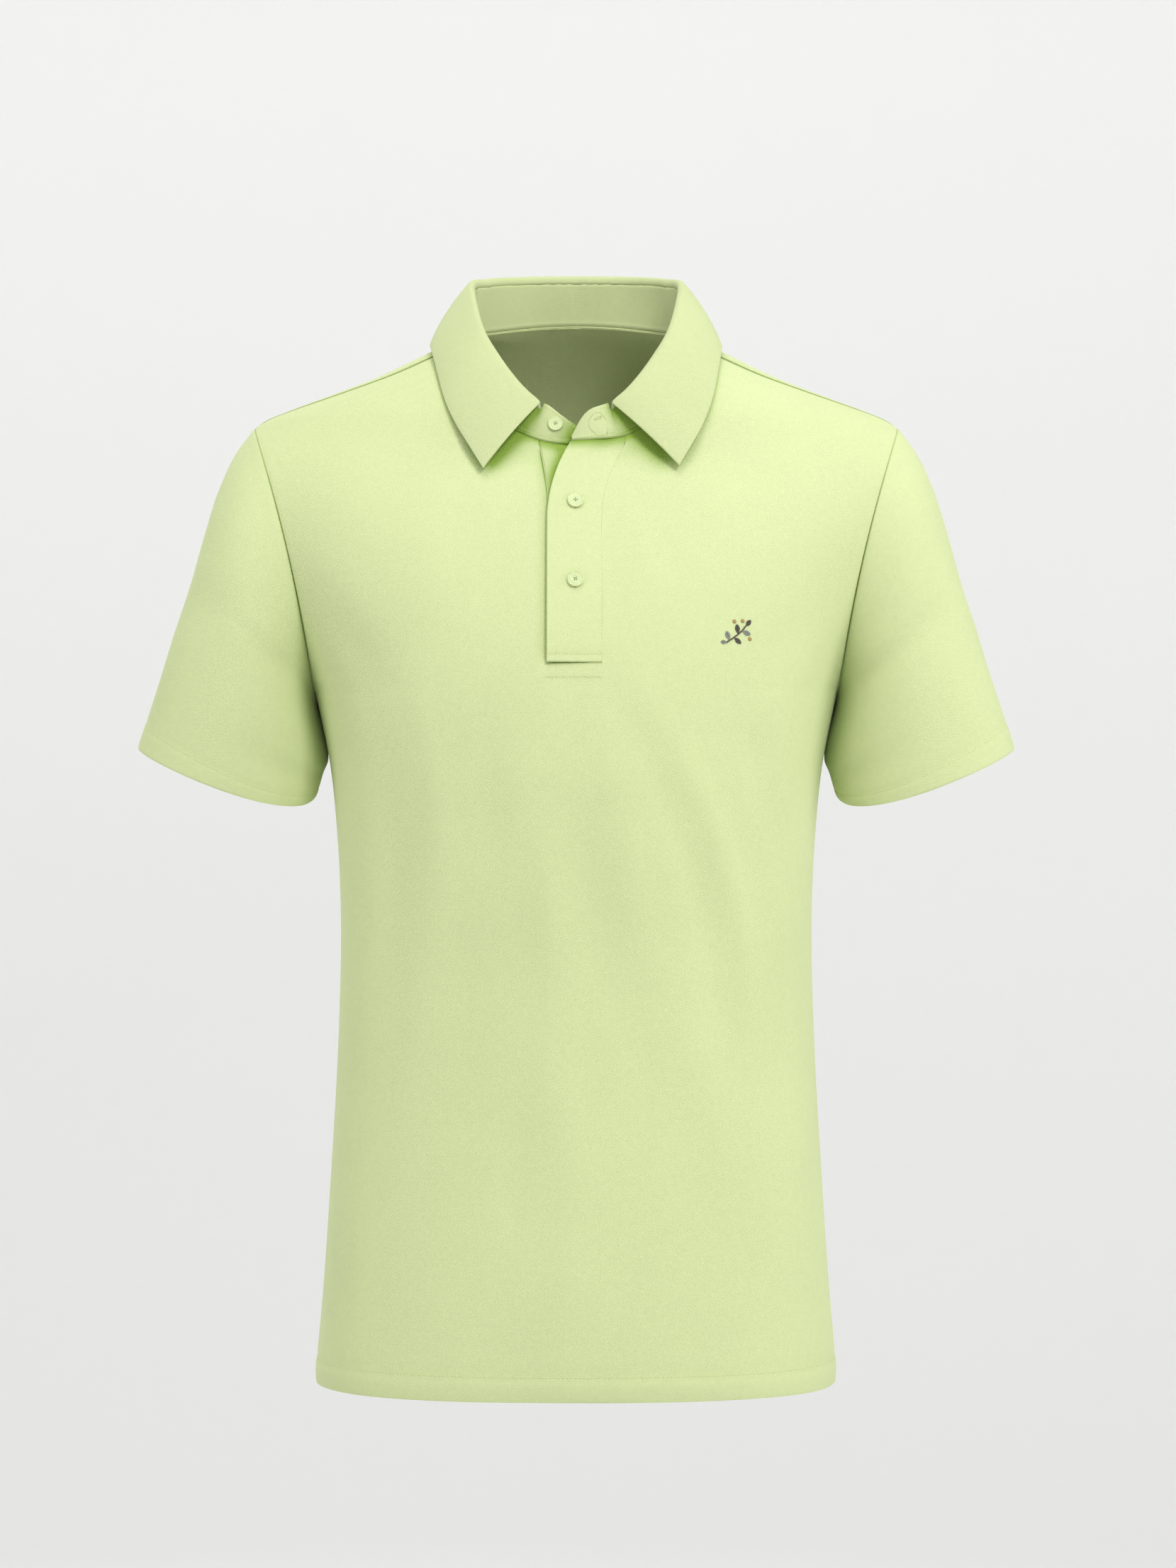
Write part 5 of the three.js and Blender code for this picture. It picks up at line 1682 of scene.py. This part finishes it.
class POLO_OT_sprig(bpy.types.Operator):
    """Embroider a small plain sprig on the chest"""

    bl_idname = "polo.sprig"
    bl_label = "Embroidered sprig"

    def execute(self, context):
        leaf_dark = thread_material("sprig_dark", (0.085, 0.07, 0.05, 1))
        leaf_grey = thread_material("sprig_grey", (0.26, 0.27, 0.24, 1))
        bud_gold = thread_material("sprig_gold", (0.46, 0.30, 0.09, 1))
        tree = cloths["front_cloth"].tree()
        place, _ = front_surface(np.array(float(SPRIG_X)), np.array(float(SPRIG_Z)), 0)
        at, normal, _, _ = tree.find_nearest(Vector(place))
        at, normal = np.array(at), np.array(normal)
        normal = normal if normal[1] < 0 else -normal
        right = unit(np.cross(-normal, UP))
        up = np.cross(right, -normal)

        def put(u, v):
            """A point of the cloth at a place on the sprig."""
            near, _, _, _ = tree.find_nearest(Vector(at + right * u + up * v))
            return np.array(near) + normal * 0.2

        def leaf(u, v, angle, length, width):
            """Satin threads laid slantwise from a leaf's midrib to its edges."""
            c, s = math.cos(math.radians(angle)), math.sin(math.radians(angle))
            strands = []
            for t in np.linspace(0.04, 0.96, int(length / 0.42)):
                reach = width * math.sin(math.pi * t**0.85)
                for hand in (-1, 1):
                    a, b = t * length, min(t + 0.16, 1.03) * length
                    start = put(u + a * c, v + a * s)
                    end = put(u + b * c - hand * reach * s, v + b * s + hand * reach * c)
                    strands.append((start, end, normal))
            return strands

        stem = [(-8.5, -6.5), (-5.4, -4.6), (-2.2, -2.6), (1.0, -0.4), (4.0, 2.2), (6.6, 5.2)]
        dark = []
        for (u0, v0), (u1, v1) in zip(stem, stem[1:]):
            for shift in (-0.22, 0.0, 0.22):
                dark.append((put(u0 - shift, v0 + shift), put(u1 - shift, v1 + shift), normal))
        dark += leaf(6.4, 4.8, 48, 5.6, 1.7)
        dark += leaf(-2.4, -2.8, -38, 6.2, 1.7)
        dark += leaf(0.8, -0.6, 96, 6.6, 1.8)
        grey = leaf(-5.6, -4.8, 108, 6.4, 1.8) + leaf(3.6, 1.8, -22, 6.4, 1.8) + leaf(-7.6, -6.0, 178, 4.2, 1.4)
        gold = []
        for u, v in ((-1.6, 8.2), (9.4, -3.6), (4.4, 8.6)):
            for angle in range(0, 180, 30):
                c, s = math.cos(math.radians(angle)), math.sin(math.radians(angle))
                gold.append((put(u - 1.5 * c, v - 1.5 * s), put(u + 1.5 * c, v + 1.5 * s), normal))
        dress(thread_mesh("sprig_dark_threads", dark, 0.24, leaf_dark), None)
        dress(thread_mesh("sprig_grey_threads", grey, 0.24, leaf_grey), None)
        dress(thread_mesh("sprig_gold_threads", gold, 0.26, bud_gold), None)
        return {"FINISHED"}


class POLO_OT_declare(bpy.types.Operator):
    """Do nothing: no flat cut of a cloth piece is stated"""

    bl_idname = "polo.declare"
    bl_label = "State the cloth"

    def execute(self, context):
        return {"FINISHED"}


class POLO_OT_stage(bpy.types.Operator):
    """Set the studio: backdrop, soft lights and the camera"""

    bl_idname = "polo.stage"
    bl_label = "Studio"

    def execute(self, context):
        self.backdrop()
        self.lights(context)
        self.camera(context)
        return {"FINISHED"}

    def backdrop(self):
        """A pale floor that sweeps up into a wall, all round the shirt."""
        paper = studio_material("studio_paper", (0.84, 0.84, 0.83, 1), 0.1)
        floor_z, radius, bend, height, sides = -1.45, 4.6, 1.2, 4.6, 72
        profile = [(0.4, floor_z), (radius - bend, floor_z)]
        for i in range(1, 13):
            a = math.pi / 2 * i / 12
            profile.append((radius - bend + bend * math.sin(a), floor_z + bend - bend * math.cos(a)))
        profile.append((radius, floor_z + height))
        turns = [2 * math.pi * i / sides for i in range(sides)]
        points = [(r * math.cos(a), r * math.sin(a), z) for r, z in profile for a in turns]
        faces = [list(range(sides))]
        faces += grid_quads(len(profile), sides, ring=True).tolist()
        mesh = bpy.data.meshes.new("studio_floor")
        mesh.from_pydata(points, [], faces)
        mesh.polygons.foreach_set("use_smooth", [True] * len(mesh.polygons))
        mesh.materials.append(paper)
        add_object("studio_floor", mesh)

    def lights(self, context):
        """A broad key from the upper right, a wide fill, a top light and an even pale sky."""
        for name, place, aim, power, size in (
            ("key", (1.3, -2.3, 2.0), (0, 0, -0.2), 51, 0.9),
            ("side", (2.7, -0.7, 0.5), (0, 0, -0.35), 15, 0.8),
            ("fill", (-2.6, -1.3, 0.3), (0, 0, -0.35), 10, 1.2),
            ("top", (-0.2, -0.9, 2.1), (0, 0, -0.2), 21, 1.3),
            ("back", (-1.2, 2.2, 1.6), (0, 0, -0.35), 22, 1.6),
            ("wash", (0.0, 1.6, 2.0), (0, 4.4, 0.5), 32, 3.0),
        ):
            data = bpy.data.lights.new(name, "AREA")
            data.energy = power
            data.shape = "SQUARE"
            data.size = size
            light = bpy.data.objects.new(name, data)
            light.location = place
            light.rotation_euler = (Vector(aim) - Vector(place)).to_track_quat("-Z", "Y").to_euler()
            context.scene.collection.objects.link(light)
        world = context.scene.world or bpy.data.worlds.new("studio")
        context.scene.world = world
        world.use_nodes = True
        background = world.node_tree.nodes.get("Background")
        background.inputs["Color"].default_value = (0.98, 0.99, 1.0, 1)
        background.inputs["Strength"].default_value = 0.34
        context.scene.view_settings.view_transform = "Standard"

    def camera(self, context):
        """Level with the middle of the frame, three metres in front."""
        distance, centre_x, centre_z, frame_height = 3.0, 0.0082, -0.3148, 1.1
        data = bpy.data.cameras.new("camera")
        data.sensor_fit = "VERTICAL"
        data.sensor_height = 36
        data.lens = data.sensor_height * distance / frame_height
        camera = bpy.data.objects.new("camera", data)
        camera.location = (centre_x, -distance, centre_z)
        camera.rotation_euler = (math.pi / 2, 0, 0)
        context.scene.collection.objects.link(camera)
        context.scene.camera = camera


class POLO_PT_panel(bpy.types.Panel):
    """The shirt's settings and makers"""

    bl_idname = "POLO_PT_panel"
    bl_label = "Polo shirt"
    bl_space_type = "VIEW_3D"
    bl_region_type = "UI"
    bl_category = "Polo shirt"

    def draw(self, context):
        for name in PoloShirtSettings.__annotations__:
            self.layout.prop(context.scene.polo_shirt, name)
        for operator in MAKERS:
            self.layout.operator(operator.bl_idname)


MAKERS = (
    POLO_OT_body,
    POLO_OT_sleeves,
    POLO_OT_collar,
    POLO_OT_placket,
    POLO_OT_shade,
    POLO_OT_buttons,
    POLO_OT_stitching,
    POLO_OT_sprig,
    POLO_OT_declare,
    POLO_OT_stage,
)
CLASSES = (PoloShirtSettings, *MAKERS, POLO_PT_panel)


def register():
    """Adds the classes and the scene's settings."""
    for kind in CLASSES:
        bpy.utils.register_class(kind)
    bpy.types.Scene.polo_shirt = bpy.props.PointerProperty(type=PoloShirtSettings)


def unregister():
    """Takes them away again."""
    del bpy.types.Scene.polo_shirt
    for kind in reversed(CLASSES):
        bpy.utils.unregister_class(kind)


def main():
    """Makes the whole shirt."""
    register()
    bpy.ops.polo.body()
    bpy.ops.polo.sleeves()
    bpy.ops.polo.collar()
    bpy.ops.polo.placket()
    bpy.ops.polo.shade()
    bpy.ops.polo.buttons()
    bpy.ops.polo.stitching()
    bpy.ops.polo.sprig()
    bpy.ops.polo.declare()
    bpy.ops.polo.stage()


if __name__ == "__main__":
    main()
